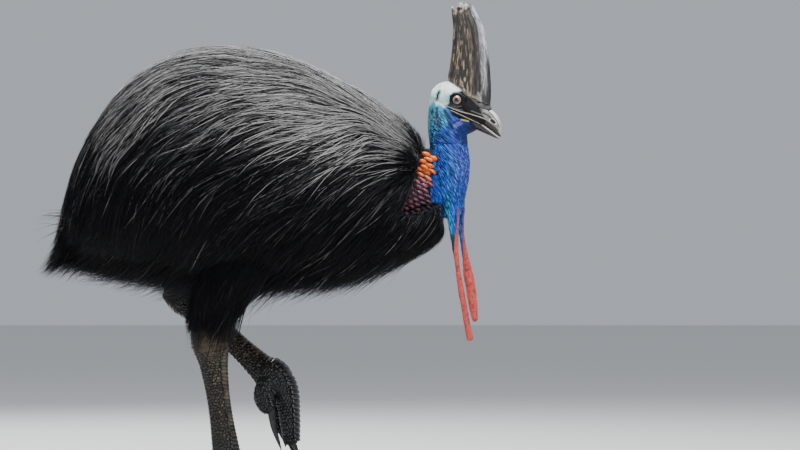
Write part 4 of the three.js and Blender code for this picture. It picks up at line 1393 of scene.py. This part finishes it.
# Each half of the bill is cut from its own limb along the line of the mouth
def makeBill(name, node, stations, keepAbove):
    piece = limb(name, stations, rings=70, sides=48, ends=(2, 3), head=True)
    x, z, slope = head["mouth"].values()
    slope = math.radians(slope)
    origin = headInFrame(np.array([x, 0.0, z + (0.2 if keepAbove else -0.2)]))
    base = headInFrame(np.array([x, 0.0, float(z)]))
    normal = unit(headInFrame(np.array([x + math.sin(slope), 0.0, z + math.cos(slope)])) - base)
    select(piece)
    bpy.ops.object.mode_set(mode="EDIT")
    bpy.ops.mesh.select_all(action="SELECT")
    bpy.ops.mesh.bisect(
        plane_co=tuple(origin), plane_no=tuple(normal), use_fill=True,
        clear_inner=keepAbove, clear_outer=not keepAbove,
    )
    bpy.ops.object.mode_set(mode="OBJECT")
    if keepAbove:
        x, y, z, dip = head["nostril"].values()
        for side in (-1, 1):
            slot = newSphere(24, 16, 2.4)
            long, wide, tall = (coords(slot) * [1.5, 1.6, 0.85]).T
            long, tall = turned(long, tall, -math.radians(dip))
            setCoords(slot, headInFrame(np.column_stack([long, wide, tall]) + [x, side * y, z]))
            combined(piece, slot, "DIFFERENCE")
    remeshed(piece, voxels["bill"], 2)
    h = inHead(coords(piece))
    below = np.abs(dot(coords(piece) - origin, normal)[:, 0]) / mm
    tip = fade(90, 104, h[:, 0])
    if keepAbove:
        ridge = fromLine(h[:, [0, 2]], [[66, -17], [75, -20], [92, -35], [103, -54], [106, -71]])
        # painted highlight: the culmen and the ridge down the bill are painted near white as the gloss along
        # them
        culmenHighlight = np.maximum(fade(7, 3, np.abs(h[:, 1])), 0.9 * fade(8, 4, ridge)) * fade(64, 72, h[:, 0])
        # painted shade: a dark band along the edge of the mouth stands for the shaded gap of the slightly
        # open bill
        band = 12.5 - 7 * fade(90, 105, h[:, 0])
        layers = [
            ((0.250, 0.235, 0.230), 0.95 * fade(54, 66, h[:, 0] - 0.25 * (h[:, 2] + 40))),
            ((0.430, 0.420, 0.415), 0.8 * fade(-0.2, 0.6, noise(h, 9, 31)) * fade(58, 72, h[:, 0])),
            ((0.850, 0.850, 0.860), 0.95 * culmenHighlight),
            ((0.005, 0.005, 0.005), fade(band + 0.8, band - 0.8, below)),
            ((0.240, 0.190, 0.150), 0.7 * tip * fade(band, band + 2, below)),
        ]
    else:
        layers = [
            ((0.560, 0.520, 0.430), 0.95 * fade(3.0, 1.8, below)),
            ((0.300, 0.260, 0.200), 0.5 * tip),
        ]
    paint(piece, (0.012, 0.011, 0.011), layers)
    bill = paintedMaterial(
        name + "Horn", roughness=0.33, fine=620, broad=130, shade=0.35, relief=0.35, depth=0.0005,
        stretch={"turn": (0, math.radians(-42), 0), "scale": (0.25, 1, 1)},
        strokes=gapeLines[:1] + billMarks if keepAbove else (), Coat_Weight=0.25, Coat_Roughness=0.2,
    )
    dress(piece, bill, "bill", node)


# An eye's colours lie in rings round the middle of its iris: how far out, and the colour
irisReach = 0.020
irisRings = [
    (0.0, (0.003, 0.003, 0.003)), (0.25, (0.003, 0.003, 0.003)), (0.275, (0.16, 0.09, 0.065)),
    (0.34, (0.19, 0.125, 0.095)), (0.46, (0.27, 0.185, 0.14)), (0.52, (0.15, 0.10, 0.08)),
    (0.55, (0.006, 0.005, 0.005)),
]


def makeEye(name, side):
    x, y, z, radius = head["eye"].values()
    centre = np.array([x, side * y, z])
    piece = newSphere(64, 40, radius)
    piece.name = "eye_" + name
    ball = coords(piece)[:, [0, 2, 1]]
    gaze = unit(np.array([0.12, side * 1.0, -0.03]))
    # the cornea swells a little from the ball
    swell = fade(0.80, 0.97, (unit(ball) @ gaze))
    ball = ball * (1 + 0.035 * swell)[:, None] - gaze * 0.35
    setCoords(piece, headInFrame(ball + centre))
    faceOut(piece)
    material, tree, shader = newMaterial("eyeGlass" + name)
    where = objectPlace(tree)
    middle = tuple(headInFrame(centre + gaze * radius))
    away = addNode(tree, "VectorMath", where, middle, operation="DISTANCE").outputs["Value"]
    iris = ramp(tree, maths(tree, "MULTIPLY", away, 1 / irisReach), irisRings)
    fleck = addNode(tree, "TexNoise", Vector=where, Scale=900.0, Detail=3.0)
    tint = dimmed(tree, iris, mapped(tree, fleck, To_Min=0.72, To_Max=1.2))
    feed(shader, Base_Color=tint, Roughness=0.08, Coat_Weight=1.0, Coat_Roughness=0.03)
    dress(piece, material, "eye", "eye_" + name)


makeCasque()
makeBill("bill_upper_horn", "bill_upper", head["billUpper"], True)
makeBill("bill_lower_horn", "bill_lower", head["billLower"], False)
makeEye("right", -1)
makeEye("left", 1)
print("head dressed")

# Claws
clawMaterial = paintedMaterial(
    "clawHorn", roughness=0.26, fine=500, broad=120, shade=0.5, relief=0.25, depth=0.0004,
    Specular_IOR_Level=0.2, Coat_Weight=0.4, Coat_Roughness=0.12,
)
for name, shapes in toes.items():
    for kind, shape in shapes.items():
        node = f"claw_{kind}_{name}"
        claw = limb(node + "_horn", shape["claw"], rings=48, sides=24, ends=(0, 1.5), side=shape["side"])
        place = inBird(coords(claw))
        root = fade(26, 4, norm(place - np.array(shape["claw"][0][:3])))
        pale = 0.7 * root * (0.6 + 0.4 * noise(place, 4, 41))
        paint(claw, (0.014, 0.013, 0.014), [((0.060, 0.052, 0.044), pale)])
        dress(claw, clawMaterial, "claw", node)

# How many plates each stretch has, and how far each laps over the next
scutes = {"shank": 31, "rear": 25, "knuckle": 6, "middle": 14, "inner": 9, "outer": 11, "overlap": 1.14}
granules = {"size": 6.0, "tall": 2.1, "from": 62, "to": 298}  # small scales round the rest of each limb


# The points and triangles of a round shape that is laid many times
def template(segments, rings):
    piece = newSphere(segments, rings)
    shape = coords(piece)
    faces = [p.vertices[:] for p in piece.data.polygons]
    bpy.data.objects.remove(piece)
    return shape, np.array([(f[0], f[k], f[k + 1]) for f in faces for k in range(1, len(f) - 1)])


# One plate as a flat pillow with a square outline, bent over the upper side of its limb
def pillow(ball):
    turn = np.arctan2(ball[:, 1], ball[:, 0])
    reach = np.hypot(ball[:, 0], ball[:, 1]) ** 0.55
    square = reach / (np.abs(np.cos(turn)) ** 6 + np.abs(np.sin(turn)) ** 6) ** (1 / 6)
    return np.column_stack([np.cos(turn) * square, np.sin(turn) * square, ball[:, 2]])


plateShape, plateFaces = template(20, 8)
plateShape = pillow(plateShape)
domeShape, domeFaces = template(6, 4)


def plates(stations, count, first, last, span, tall, side=(0, 1, 0), facing=1):
    made = []
    for i in range(count):
        step = (last - first) / count
        centre = first + step * (i + 0.5)
        reach = math.radians(span * (1 + 0.05 * rng.uniform(-1, 1)))
        angle = plateShape[:, 0] * reach + math.radians(rng.uniform(-3, 3))
        bow = 0.18 * (1 - np.cos(angle))
        t = centre + plateShape[:, 1] * step * 0.5 * scutes["overlap"] - bow * step
        # each plate stands up towards its lower edge and laps over the next
        lift = tall * (0.55 * plateShape[:, 2] + 0.25 + 0.5 * (plateShape[:, 1] + 1) / 2)
        row = along(stations, t)
        scale = 1 + lift / row[:, 3]
        deep, wide = -facing * np.cos(angle) * scale, np.sin(angle) * scale
        made.append(limbPoints(stations, t, deep, wide, side=side))
    return made


# Small scales in staggered rows round a limb, leaving out the band of plates
def smallScales(stations, first, last, side=(0, 1, 0)):
    stations = np.array(stations, float)
    length = norm(np.diff(stations[:, :3], axis=0)).sum()
    rows = int(length * (last - first) / granules["size"])
    made = []
    for i in range(rows):
        t0 = first + (last - first) * (i + 0.5) / rows
        radius = along(stations, np.array([t0]))[0, 3:].mean()
        span = math.radians(granules["to"] - granules["from"])
        count = max(int(radius * span / granules["size"]), 3)
        turns = math.radians(granules["from"]) + span * (np.arange(count) + 0.25 + 0.5 * (i % 2)) / count
        turns = turns + rng.uniform(-0.07, 0.07, count)
        grown = rng.uniform(0.66, 1.22, count)[:, None]
        angle = (turns[:, None] + domeShape[:, 0] * grown * span / count * 0.53).ravel()
        shift = rng.uniform(-0.2, 0.2, count)[:, None] / rows
        t = (t0 + domeShape[:, 1] * grown * (last - first) / rows * 0.55 + shift).ravel()
        lift = granules["tall"] * domeShape[:, 2] * grown - 0.1
        scale = 1 + lift.ravel() / along(stations, t)[:, 3]
        points = limbPoints(stations, t, -np.cos(angle) * scale, np.sin(angle) * scale, side=side)
        made.append(points.reshape(count, -1, 3))
    return np.concatenate(made)


def makeScutes(name):
    leg, shank = legs[name], shankStations(legs[name])
    high, toeStart, toeTall = (0.22, 0.03, 3.2) if name == "right" else (0.14, 0.16, 5.0)
    big = plates(shank, scutes["shank"], high, 0.99, 58, 2.4)
    big += plates(shank, scutes["rear"], 0.10, 0.96, 30, 3.2, facing=-1)
    small = [smallScales(shank, high, 0.97)]
    if name == "left":
        big += plates(leg["knuckle"], scutes["knuckle"], 0.16, 0.95, 62, 3.2)
        small.append(smallScales(leg["knuckle"], 0.08, 0.95))
    for kind, toe in toes[name].items():
        big += plates(toe["flesh"], scutes[kind], toeStart, 0.985, 66, toeTall, toe["side"])
        small.append(smallScales(toe["flesh"], 0.10, 0.97, toe["side"]))
    big, small = np.array(big), np.concatenate(small)
    points, numbers = gathered(big, plateFaces)
    more, moreNumbers = gathered(small, domeFaces)
    flat = inFrame(np.vstack([points, more]))
    flat[:, 2] = np.maximum(flat[:, 2], 0.0008)
    piece = joinedMesh("scutes_" + name, flat, np.vstack([numbers, moreNumbers + len(points)]))
    faceOut(piece)
    place = inBird(coords(piece))
    bigTone, smallTone = rng.uniform(0, 1, len(big)), rng.uniform(0, 1, len(small)) ** 2
    tone = np.append(np.repeat(bigTone, len(plateShape)), np.repeat(smallTone, len(domeShape)))
    rim = fade(0.80, 0.98, np.abs(plateShape[:, :2]).max(axis=1))
    edge = np.append(np.tile(rim, len(big)), np.tile(fade(0.35, -0.2, domeShape[:, 2]), len(small)))
    hock, ball = leg["hock"], leg["ball"]
    onToe = fade(80, 40, norm(place - ball)) + (place[:, 2] < ball[2])
    fromHock = norm(place - hock)
    ahead = unit(ball - hock)
    behind = fade(2, -14, (place - hock) @ np.array([-ahead[2], 0, ahead[0]]))
    paint(piece, (0.013, 0.011, 0.008), [
        ((0.130, 0.100, 0.060), 0.8 * tone ** 2 * (1 - 0.85 * behind)),
        ((0.120, 0.090, 0.050), 0.5 * fade(150, 60, fromHock) * (1 - behind) * (place[:, 1] < 30)),
        ((0.012, 0.014, 0.018), 0.75 * np.clip(onToe, 0, 1)),
        # painted shade: the far hock's scales are painted near black
        ((0.003, 0.003, 0.003), 0.95 * fade(140, 90, fromHock) * (place[:, 1] > 60)),
        ((0.012, 0.011, 0.010), 0.7 * fade(0.1, 0.8, noise(place, [12, 12, 9], 42))),
        ((0.006, 0.005, 0.005), 0.9 * edge),
    ])
    dress(piece, scuteMaterial, "leg_skin")


scuteMaterial = paintedMaterial(
    "scuteHorn", roughness=0.28, fine=640, broad=150, shade=0.45, relief=0.4, depth=0.0005,
    Specular_IOR_Level=0.2, Coat_Weight=0.45, Coat_Roughness=0.15,
)
for name in legs:
    makeScutes(name)
print("feet dressed")


# The coat
# Strands start under a surface, follow the comb over it and rise towards their tips; where
# they hang, or run past the surface's end, they leave it and fall
def growStrands(surface, u, v, length, rise, swing, hang, rows, root=3.0, curl=0.0):
    line, normals, free = [], [], None
    step = (length / rows)[:, None]
    for i in range(rows + 1):
        d, t = 0.004, math.sqrt(i / rows)
        alongU = (surface(u + d, v) - surface(u - d, v)) / (2 * d)
        alongV = (surface(u, v + d) - surface(u, v - d)) / (2 * d)
        normal = unit(np.cross(alongU, alongV))
        held = surface(u, v) + normal * (rise * t - root * (1 - t))[:, None]
        leave = np.clip(hang + fade(0.95, 0.985, u), 0, 1)[:, None]
        place = held if free is None else held + (free - held) * leave
        lie = lieAt(place)
        turned = swing + curl * (i / rows - 0.3)
        c, s = np.cos(turned)[:, None], np.sin(turned)[:, None]
        lie = lie * c + np.cross(normal, lie) * s + normal * dot(normal, lie) * (1 - c)
        flat = unit(lie - normal * dot(lie, normal))
        line.append(place)
        normals.append(normal)
        free = place + unit(flat + (lie - flat) * leave) * step
        arrow = flat * step
        uu, uv, vv = dot(alongU, alongU), dot(alongU, alongV), dot(alongV, alongV)
        fu, fv = dot(alongU, arrow), dot(alongV, arrow)
        det = uu * vv - uv * uv
        u = np.clip(u + ((fu * vv - fv * uv) / det)[:, 0], 0.01, 0.99)
        v = v + ((fv * uu - fu * uv) / det)[:, 0]
    return np.stack(line, axis=1), np.stack(normals, axis=1)


# Shortens strands that would pass the coat's outline by more than their slack
def trimmed(line, normals, slack):
    count, size = line.shape[:2]
    flat = line.reshape(-1, 3)[:, [0, 2]]
    hem = np.array(coat["hem"], float)
    away = fromLine(flat, np.vstack([hem, hem[:1]]))
    past = np.where(inside(hem, flat[:, 0], flat[:, 1]), -away, away).reshape(count, size) - slack[:, None]
    past[:, 0] = np.minimum(past[:, 0], -0.01)
    out = past > 0
    first = np.where(out.any(axis=1), out.argmax(axis=1), size - 1)
    each = np.arange(count)
    before = np.maximum(first - 1, 0)
    held = past[each, before]
    share = np.where(out.any(axis=1), -held / np.maximum(past[each, first] - held, 1e-6), 1)
    end = np.clip((before + share) / (size - 1), 0.2, 1)
    place = np.linspace(0, 1, size)[None] * end[:, None] * (size - 1)
    low = np.minimum(place.astype(int), size - 2)
    part = (place - low)[..., None]
    rows = each[:, None]
    return line[rows, low] * (1 - part) + line[rows, low + 1] * part, normals[rows, low]


# Each strand is a thin closed blade of three sides that tapers to a point
def strandMesh(name, line, normals, halfWidth, tone, patch):
    count, rows = len(line), line.shape[1] - 1
    ahead = unit(np.gradient(line, axis=1))
    wide = unit(np.cross(ahead, normals))
    out = np.cross(wide, ahead)
    t = np.arange(rows) / rows
    taper = np.where(t < 0.25, 0.6 + 1.6 * t, 1 - 0.78 * (np.maximum(t - 0.25, 0) / 0.75) ** 1.3)
    w = (halfWidth[:, None] * taper)[..., None]
    body, wide, out = line[:, :-1], wide[:, :-1], out[:, :-1]
    low = body - out * w * 0.25
    rings = np.stack([body + out * w * 0.55, low - wide * w, low + wide * w], axis=2)
    points = np.concatenate([rings.reshape(count, -1, 3), line[:, -1:]], axis=1)
    faces = [(0, 2, 1)]
    for r in range(rows - 1):
        for k in range(3):
            a, b = 3 * r + k, 3 * r + (k + 1) % 3
            faces += [(a, b, b + 3), (a, b + 3, a + 3)]
    faces += [(3 * rows - 3 + k, 3 * rows - 3 + (k + 1) % 3, 3 * rows) for k in range(3)]
    faces = np.array(faces)
    a, b, c = (points[0, faces[:, k]] for k in range(3))
    if np.sum(dot(a, np.cross(b, c))) < 0:
        faces = faces[:, ::-1]
    size = points.shape[1]
    points, numbers = gathered(points, faces)
    piece = joinedMesh(name, inFrame(points), numbers)
    setValue(piece, "tone", np.repeat(tone, size))
    reach = np.append(np.repeat(t, 3), 1.0)
    setValue(piece, "reach", np.tile(reach, count))
    # every strand has its own small patch at its root's place on the unwrapped body
    across = np.append(np.tile([0.0, -1.0, 1.0], rows), 0.0) * 0.0013
    corner = patch[:, None] + np.stack([across, (reach - 0.5) * 0.0028], axis=-1)[None]
    layer = piece.data.uv_layers.new(name="OFBake")
    layer.data.foreach_set("uv", corner.reshape(-1, 2)[numbers.ravel()].astype(np.float32).ravel())
    dress(piece, feather, "coat")


def coatMaterial():
    material, tree, shader = newMaterial("blackPlumage")
    tone, reach = attribute(tree, "tone"), attribute(tree, "reach")
    drift = addNode(tree, "TexNoise", Vector=objectPlace(tree), Scale=14.0, Detail=3.0)
    shades = ramp(tree, maths(tree, "MULTIPLY_ADD", drift, 0.24, tone), [
        (0.0, (0.0022, 0.0022, 0.0028)), (0.30, (0.0070, 0.0070, 0.0085)),
        (0.60, (0.040, 0.039, 0.041)), (1.0, (0.330, 0.325, 0.320)),
    ])
    tip = mapped(tree, reach, From_Min=0.0, From_Max=0.9, To_Min=0.55, To_Max=1.25)
    sheen = mapped(tree, tone, From_Min=0.2, From_Max=0.8, To_Max=0.8)
    feed(
        shader, Base_Color=dimmed(tree, shades, tip), Coat_Weight=sheen,
        Coat_Roughness=0.3, Roughness=0.34, Specular_IOR_Level=0.11,
    )
    return material


# Roots spread evenly over a surface: more candidates than needed, kept by the area they stand for
def spreadRoots(surface, count, uLow, uHigh):
    u, v = rng.uniform(uLow, uHigh, count * 4), rng.uniform(0, 1, count * 4)
    d = 0.004
    alongU, alongV = surface(u + d, v) - surface(u - d, v), surface(u, v + d) - surface(u, v - d)
    area = norm(np.cross(alongU, alongV))
    kept = rng.uniform(0, np.quantile(area, 0.995), len(area)) < area
    return u[kept], v[kept]


# A strand's place on the unwrapped body
def bodyPatch(u, v):
    return np.column_stack([0.01 + 0.98 * u, 0.01 + 0.70 * (v % 1.0)])


feather = coatMaterial()


def torsoCoat():
    u, v = spreadRoots(torsoPoints, coat["strands"], 0.004, 0.985)
    root = torsoPoints(u, v)
    shown = ~inside(coat["open"], root[:, 0], root[:, 2])
    u, v, root = (a[shown][:coat["strands"]] for a in (u, v, root))
    count = len(u)
    low = 0.5 - 0.5 * np.cos(2 * math.pi * v)
    grown = frontGrowth(u)
    depth = coat["back"] + (coat["side"] - coat["back"]) * fade(0, 0.5, low)
    depth = grown * (depth + (coat["belly"] - coat["side"]) * fade(0.6, 1, low))
    depth = depth + 10 * fade(0.12, 0.0, u) * fade(0.5, 0.1, low)
    lock, tuft = noise(root, 46, 51), noise(root, 15, 54)
    layer = rng.uniform(0, 1, count) ** 0.8
    rise = depth * np.clip(0.10 + 0.74 * layer + 0.14 * lock + 0.14 * tuft, 0.04, 1.05)
    length = (72 + 132 * fade(0, 0.34, u)) * (1 - 0.22 * fade(0.7, 1, low)) * rng.uniform(0.68, 1.18, count)
    swing = 0.12 * lock + 0.26 * tuft + rng.normal(0, 0.07, count)
    curl = 0.5 * noise(root, 19, 55) + rng.normal(0, 0.2, count)
    hang = 0.03 + 0.85 * fade(0.74, 0.96, low) * rng.uniform(0.25, 1.0, count)
    hang = hang + 0.12 * (rng.uniform(0, 1, count) < 0.03)
    line, normals = growStrands(torsoPoints, u, v, length, rise, swing, hang, coat["rows"], curl=curl)
    below = fade(0.6, 0.88, low)
    long = rng.uniform(0, 1, count) < 0.07 + 0.48 * below
    fringe = 12 * below * (0.4 + 1.4 * noise(root, 17, 56))
    slack = np.where(long, rng.uniform(2, 38, count), rng.normal(-3, 6, count) + fringe)
    slack = slack * np.where(low < 0.4, 0.35, 1)
    line, normals = trimmed(line, normals, slack)
    halfWidth = rng.uniform(0.70, 1.30, count) * (0.6 + 0.4 * grown)
    # painted sheen and shade: pale strands stand for the sheen of the light from above, many on the back and
    # shoulder, fewer on the flank, hardly any below and behind, where the coat is painted darker as shade;
    # the tone also varies at random
    x = root[:, 0]
    lit = fade(0.40, 0.08, low - 0.12 * fade(60, 300, x)) * fade(-330, -120, x)
    flank = fade(0.80, 0.35, low) * fade(-240, 40, x)
    shoulder = fade(150, 330, x) * lit
    share = 0.03 + 0.46 * lit + 0.15 * flank + 0.12 * shoulder
    pale = (rng.uniform(0, 1, count) < share) * rng.uniform(0.30, 1.05, count)
    pale = pale * (0.6 + 0.4 * lit + 0.25 * shoulder)
    tone = 0.02 + 0.16 * lit + 0.05 * flank + 0.08 * shoulder + pale
    tone = tone + (0.05 + 0.24 * lit + 0.08 * flank) * noise(root, 11, 53) + rng.normal(0, 0.05, count)
    return (line, normals, halfWidth, tone, bodyPatch(u, v)), v % 1.0 < 0.5, u


# The coat in eight fields, four on each side from breast to rump
def makeCoat():
    strands, right, u = torsoCoat()
    for side, mask in (("right", right), ("left", ~right)):
        order = np.flatnonzero(mask)
        order = order[np.argsort(u[order])]
        for k, chunk in enumerate(np.array_split(order, 4)):
            strandMesh(f"coat_{side}_{k + 1}", *(given[chunk] for given in strands))


def makeLegCoat(name):
    thigh = legs[name]["thigh"]

    def surface(u, v):
        return limbPoints(thigh, u, np.cos(2 * math.pi * v), -np.sin(2 * math.pi * v))
    u, v = spreadRoots(surface, coat["legStrands"], 0.06, 0.95)
    # the hem is ragged, and higher in front
    front = 0.5 - 0.5 * np.cos(2 * math.pi * v)
    ragged = noise(surface(u, v), [12, 12, 90], 64)
    hemAt = 0.89 - 0.25 * front if name == "right" else 0.97 - 0.10 * front
    shown = u < hemAt + 0.08 * ragged + rng.normal(0, 0.03, len(u))
    u, v, front, ragged = (a[shown][:coat["legStrands"]] for a in (u, v, front, ragged))
    count = len(u)
    root = surface(u, v)
    length = rng.uniform(46, 112, count) * (1 - 0.74 * fade(0.36, 0.80, u) + 0.18 * ragged)
    length = length * np.where(rng.uniform(0, 1, count) < 0.12, 1.5, 1)
    rise = rng.uniform(2, 13, count) * (1 - 0.5 * fade(0.6, 0.9, u))
    swing = 0.20 * noise(root, 30, 61) + rng.normal(0, 0.13, count)
    loose = (rng.uniform(0, 1, count) < 0.3) * fade(0.5, 0.9, front) * fade(0.15, 0.3, u)
    length = length * (1 + 0.5 * loose)
    hang = rng.uniform(0.0, 0.35, count) + 0.5 * (rng.uniform(0, 1, count) < 0.12) + 0.7 * loose
    curl = rng.normal(0, 0.2, count)
    hang = np.clip(hang, 0, 1)
    line, normals = growStrands(surface, u, v, length, rise, swing, hang, coat["rows"], curl=curl)
    halfWidth = rng.uniform(0.55, 1.0, count)
    tone = 0.02 + 0.07 * noise(root, 14, 62) + rng.normal(0, 0.05, count)
    tone = tone + 0.3 * (rng.uniform(0, 1, count) < 0.03)
    shift = 0.75 if name == "right" else 0.87
    patch = np.column_stack([0.01 + 0.98 * u, shift + 0.11 * (v % 1.0)])
    strandMesh("coat_leg_" + name, line, normals, halfWidth, tone, patch)


# The collar's strands start on the skin where the bare neck ends, and lie back over the coat
def makeCollar():
    tree = BVHTree.FromPolygons(coords(skin).tolist(), [p.vertices[:] for p in skin.data.polygons])
    border = np.array(coat["open"][:10], float)
    roots, outward, lengths, rises = [], [], [], []

    def seat(start, aim, length, rise):
        hit, normal, _, _ = tree.ray_cast(inFrame(start[None])[0], aim)
        if hit is not None:
            roots.append(inBird(np.array(hit)[None])[0])
            outward.append(np.array(normal))
            lengths.append(length)
            rises.append(rise)

    steps = norm(np.diff(border, axis=0))
    reach = np.append(0, np.cumsum(steps))
    for _ in range(coat["collar"]):
        d = rng.uniform(0, reach[-1])
        x, z = np.interp(d, reach, border[:, 0]), np.interp(d, reach, border[:, 1])
        back = rng.uniform(-1.5, 15)
        lower = d > reach[5]
        x, z = (x - 0.3 * back, z - back) if lower else (x - back, z + 0.4 * back)
        side = rng.choice([-1.0, 1.0])
        length, rise = rng.uniform(26, 64), rng.uniform(6, 20) * (0.5 if lower else 1)
        seat(np.array([x, side * 260, z]), (0, -side, 0), length, rise)
    for _ in range(coat["nape"]):
        x, y = rng.uniform(392, 447), rng.uniform(-46, 46)
        seat(np.array([x, y, 900.0]), (0, 0, -1), rng.uniform(40, 95), rng.uniform(6, 27))
    roots, normal = np.array(roots), np.array(outward)
    lengths, rises = np.array(lengths), np.array(rises)
    x, z = roots[:, 0], roots[:, 2]
    kept = ~inside(coat["open"], x, z) & (x < 490) & (z < 790)
    roots, normal, lengths, rises = (a[kept] for a in (roots, normal, lengths, rises))
    count, rows = len(roots), coat["rows"]
    turn = 0.2 * noise(roots, 16, 71) + rng.normal(0, 0.12, count)
    line = [roots - normal * 3]
    for i in range(rows):
        lie = lieAt(line[-1])
        c, s = np.cos(turn)[:, None], np.sin(turn)[:, None]
        lie = lie * c + np.cross(normal, lie) * s
        flat = unit(lie - normal * dot(lie, normal))
        lift = rises * (math.sqrt((i + 1) / rows) - math.sqrt(i / rows)) - 0.05 * i * lengths / rows
        line.append(line[-1] + flat * (lengths / rows)[:, None] + normal * lift[:, None])
    line = np.stack(line, axis=1)
    normals = np.repeat(normal[:, None], rows + 1, axis=1)
    line, normals = trimmed(line, normals, rng.normal(1, 3, count))
    tone = 0.08 + 0.1 * noise(roots, 11, 72) + rng.normal(0, 0.06, count)
    tone = tone + 0.35 * (rng.uniform(0, 1, count) < 0.14)
    x, z = roots[:, 0], roots[:, 2]
    patch = np.column_stack([0.02 + 0.1 * (x - 340) / 160, 0.725 + 0.02 * (z - 560) / 240])
    strandMesh("coat_collar", line, normals, rng.uniform(0.5, 0.95, count), tone, patch)


# A few loose barbs stand out behind the rump
def makeWisps():
    count, rows = coat["wisps"], coat["rows"]
    u = rng.uniform(0.93, 0.985, count)
    right = rng.uniform(0, 1, count) < 0.7
    v = np.where(right, rng.uniform(0.17, 0.27, count), rng.uniform(0.73, 0.83, count))
    root = torsoPoints(u, v)
    normal = unit(root - np.array([-300, 0, 600.0]))
    down = np.radians(rng.uniform(-22, 26, count))
    aim = unit(np.column_stack([-np.cos(down), normal[:, 1] * 0.3, -np.sin(down)]))
    length = rng.uniform(45, 95, count)[:, None, None]
    t = np.linspace(0, 1, rows + 1)[None, :, None]
    sag = np.array([0, 0, -1.0]) * rng.uniform(0.0, 0.3, count)[:, None]
    line = root[:, None] + aim[:, None] * t * length + sag[:, None] * t ** 2 * length
    line[..., 0] = np.maximum(line[..., 0], -450)
    normals = np.repeat(normal[:, None], rows + 1, axis=1)
    widths, tones = rng.uniform(0.35, 0.6, count), rng.uniform(0.1, 0.4, count)
    strandMesh("coat_wisps", line, normals, widths, tones, bodyPatch(u, v))


makeCoat()
for name in legs:
    makeLegCoat(name)
makeCollar()
makeWisps()
print("coat grown")

# Five bare quills sweep down over the flank from each wing's stub
quills = {
    "u": 0.34, "v": 0.27,
    "lengths": [330, 320, 335, 290, 250],
    "swings": [-0.16, -0.04, 0.1, 0.22, 0.36],
}


def makeWing(name, side):
    def onSide(v):
        return v if side < 0 else 1 - v
    shift = np.array([-0.05, 0, 0.05])
    stub = torsoPoints(quills["u"] + shift, onSide(quills["v"] + 0.4 * shift), -5)
    parts = [limb("stub", [[*p, d, w] for p, d, w in zip(stub, (10, 14, 11), (5, 7, 5))], ends=(10, 10))]
    for i, (length, swing) in enumerate(zip(quills["lengths"], quills["swings"])):
        start = np.array([quills["u"] + 0.016 * (2 - i)]), np.array([onSide(quills["v"] + 0.008)])
        given = [np.array([a]) for a in (length, 14.5, side * swing, 0.2)]
        line, _ = growStrands(torsoPoints, *start, *given, 12, root=0.0)
        reach = np.linspace(0, 1, 13)
        stations = [[*p, 2.4 * (1 - 0.8 * t), 2.4 * (1 - 0.8 * t)] for p, t in zip(line[0], reach)]
        parts.append(limb("quill", stations, rings=60, sides=12, ends=(1, 1)))
    piece = joinPieces("quills_" + name, parts)
    place = inBird(coords(piece))
    sheen = 0.6 * fade(-0.2, 0.8, noise(place, 30, 81))
    paint(piece, (0.005, 0.005, 0.005), [((0.014, 0.012, 0.010), sheen)])
    dress(piece, quillMaterial, "quill", "wing_" + name)


quillMaterial = paintedMaterial(
    "quillShaft", roughness=0.45, fine=500, broad=110, shade=0.3, relief=0.3, depth=0.0004,
)
makeWing("right", -1)
makeWing("left", 1)
print("wings made")
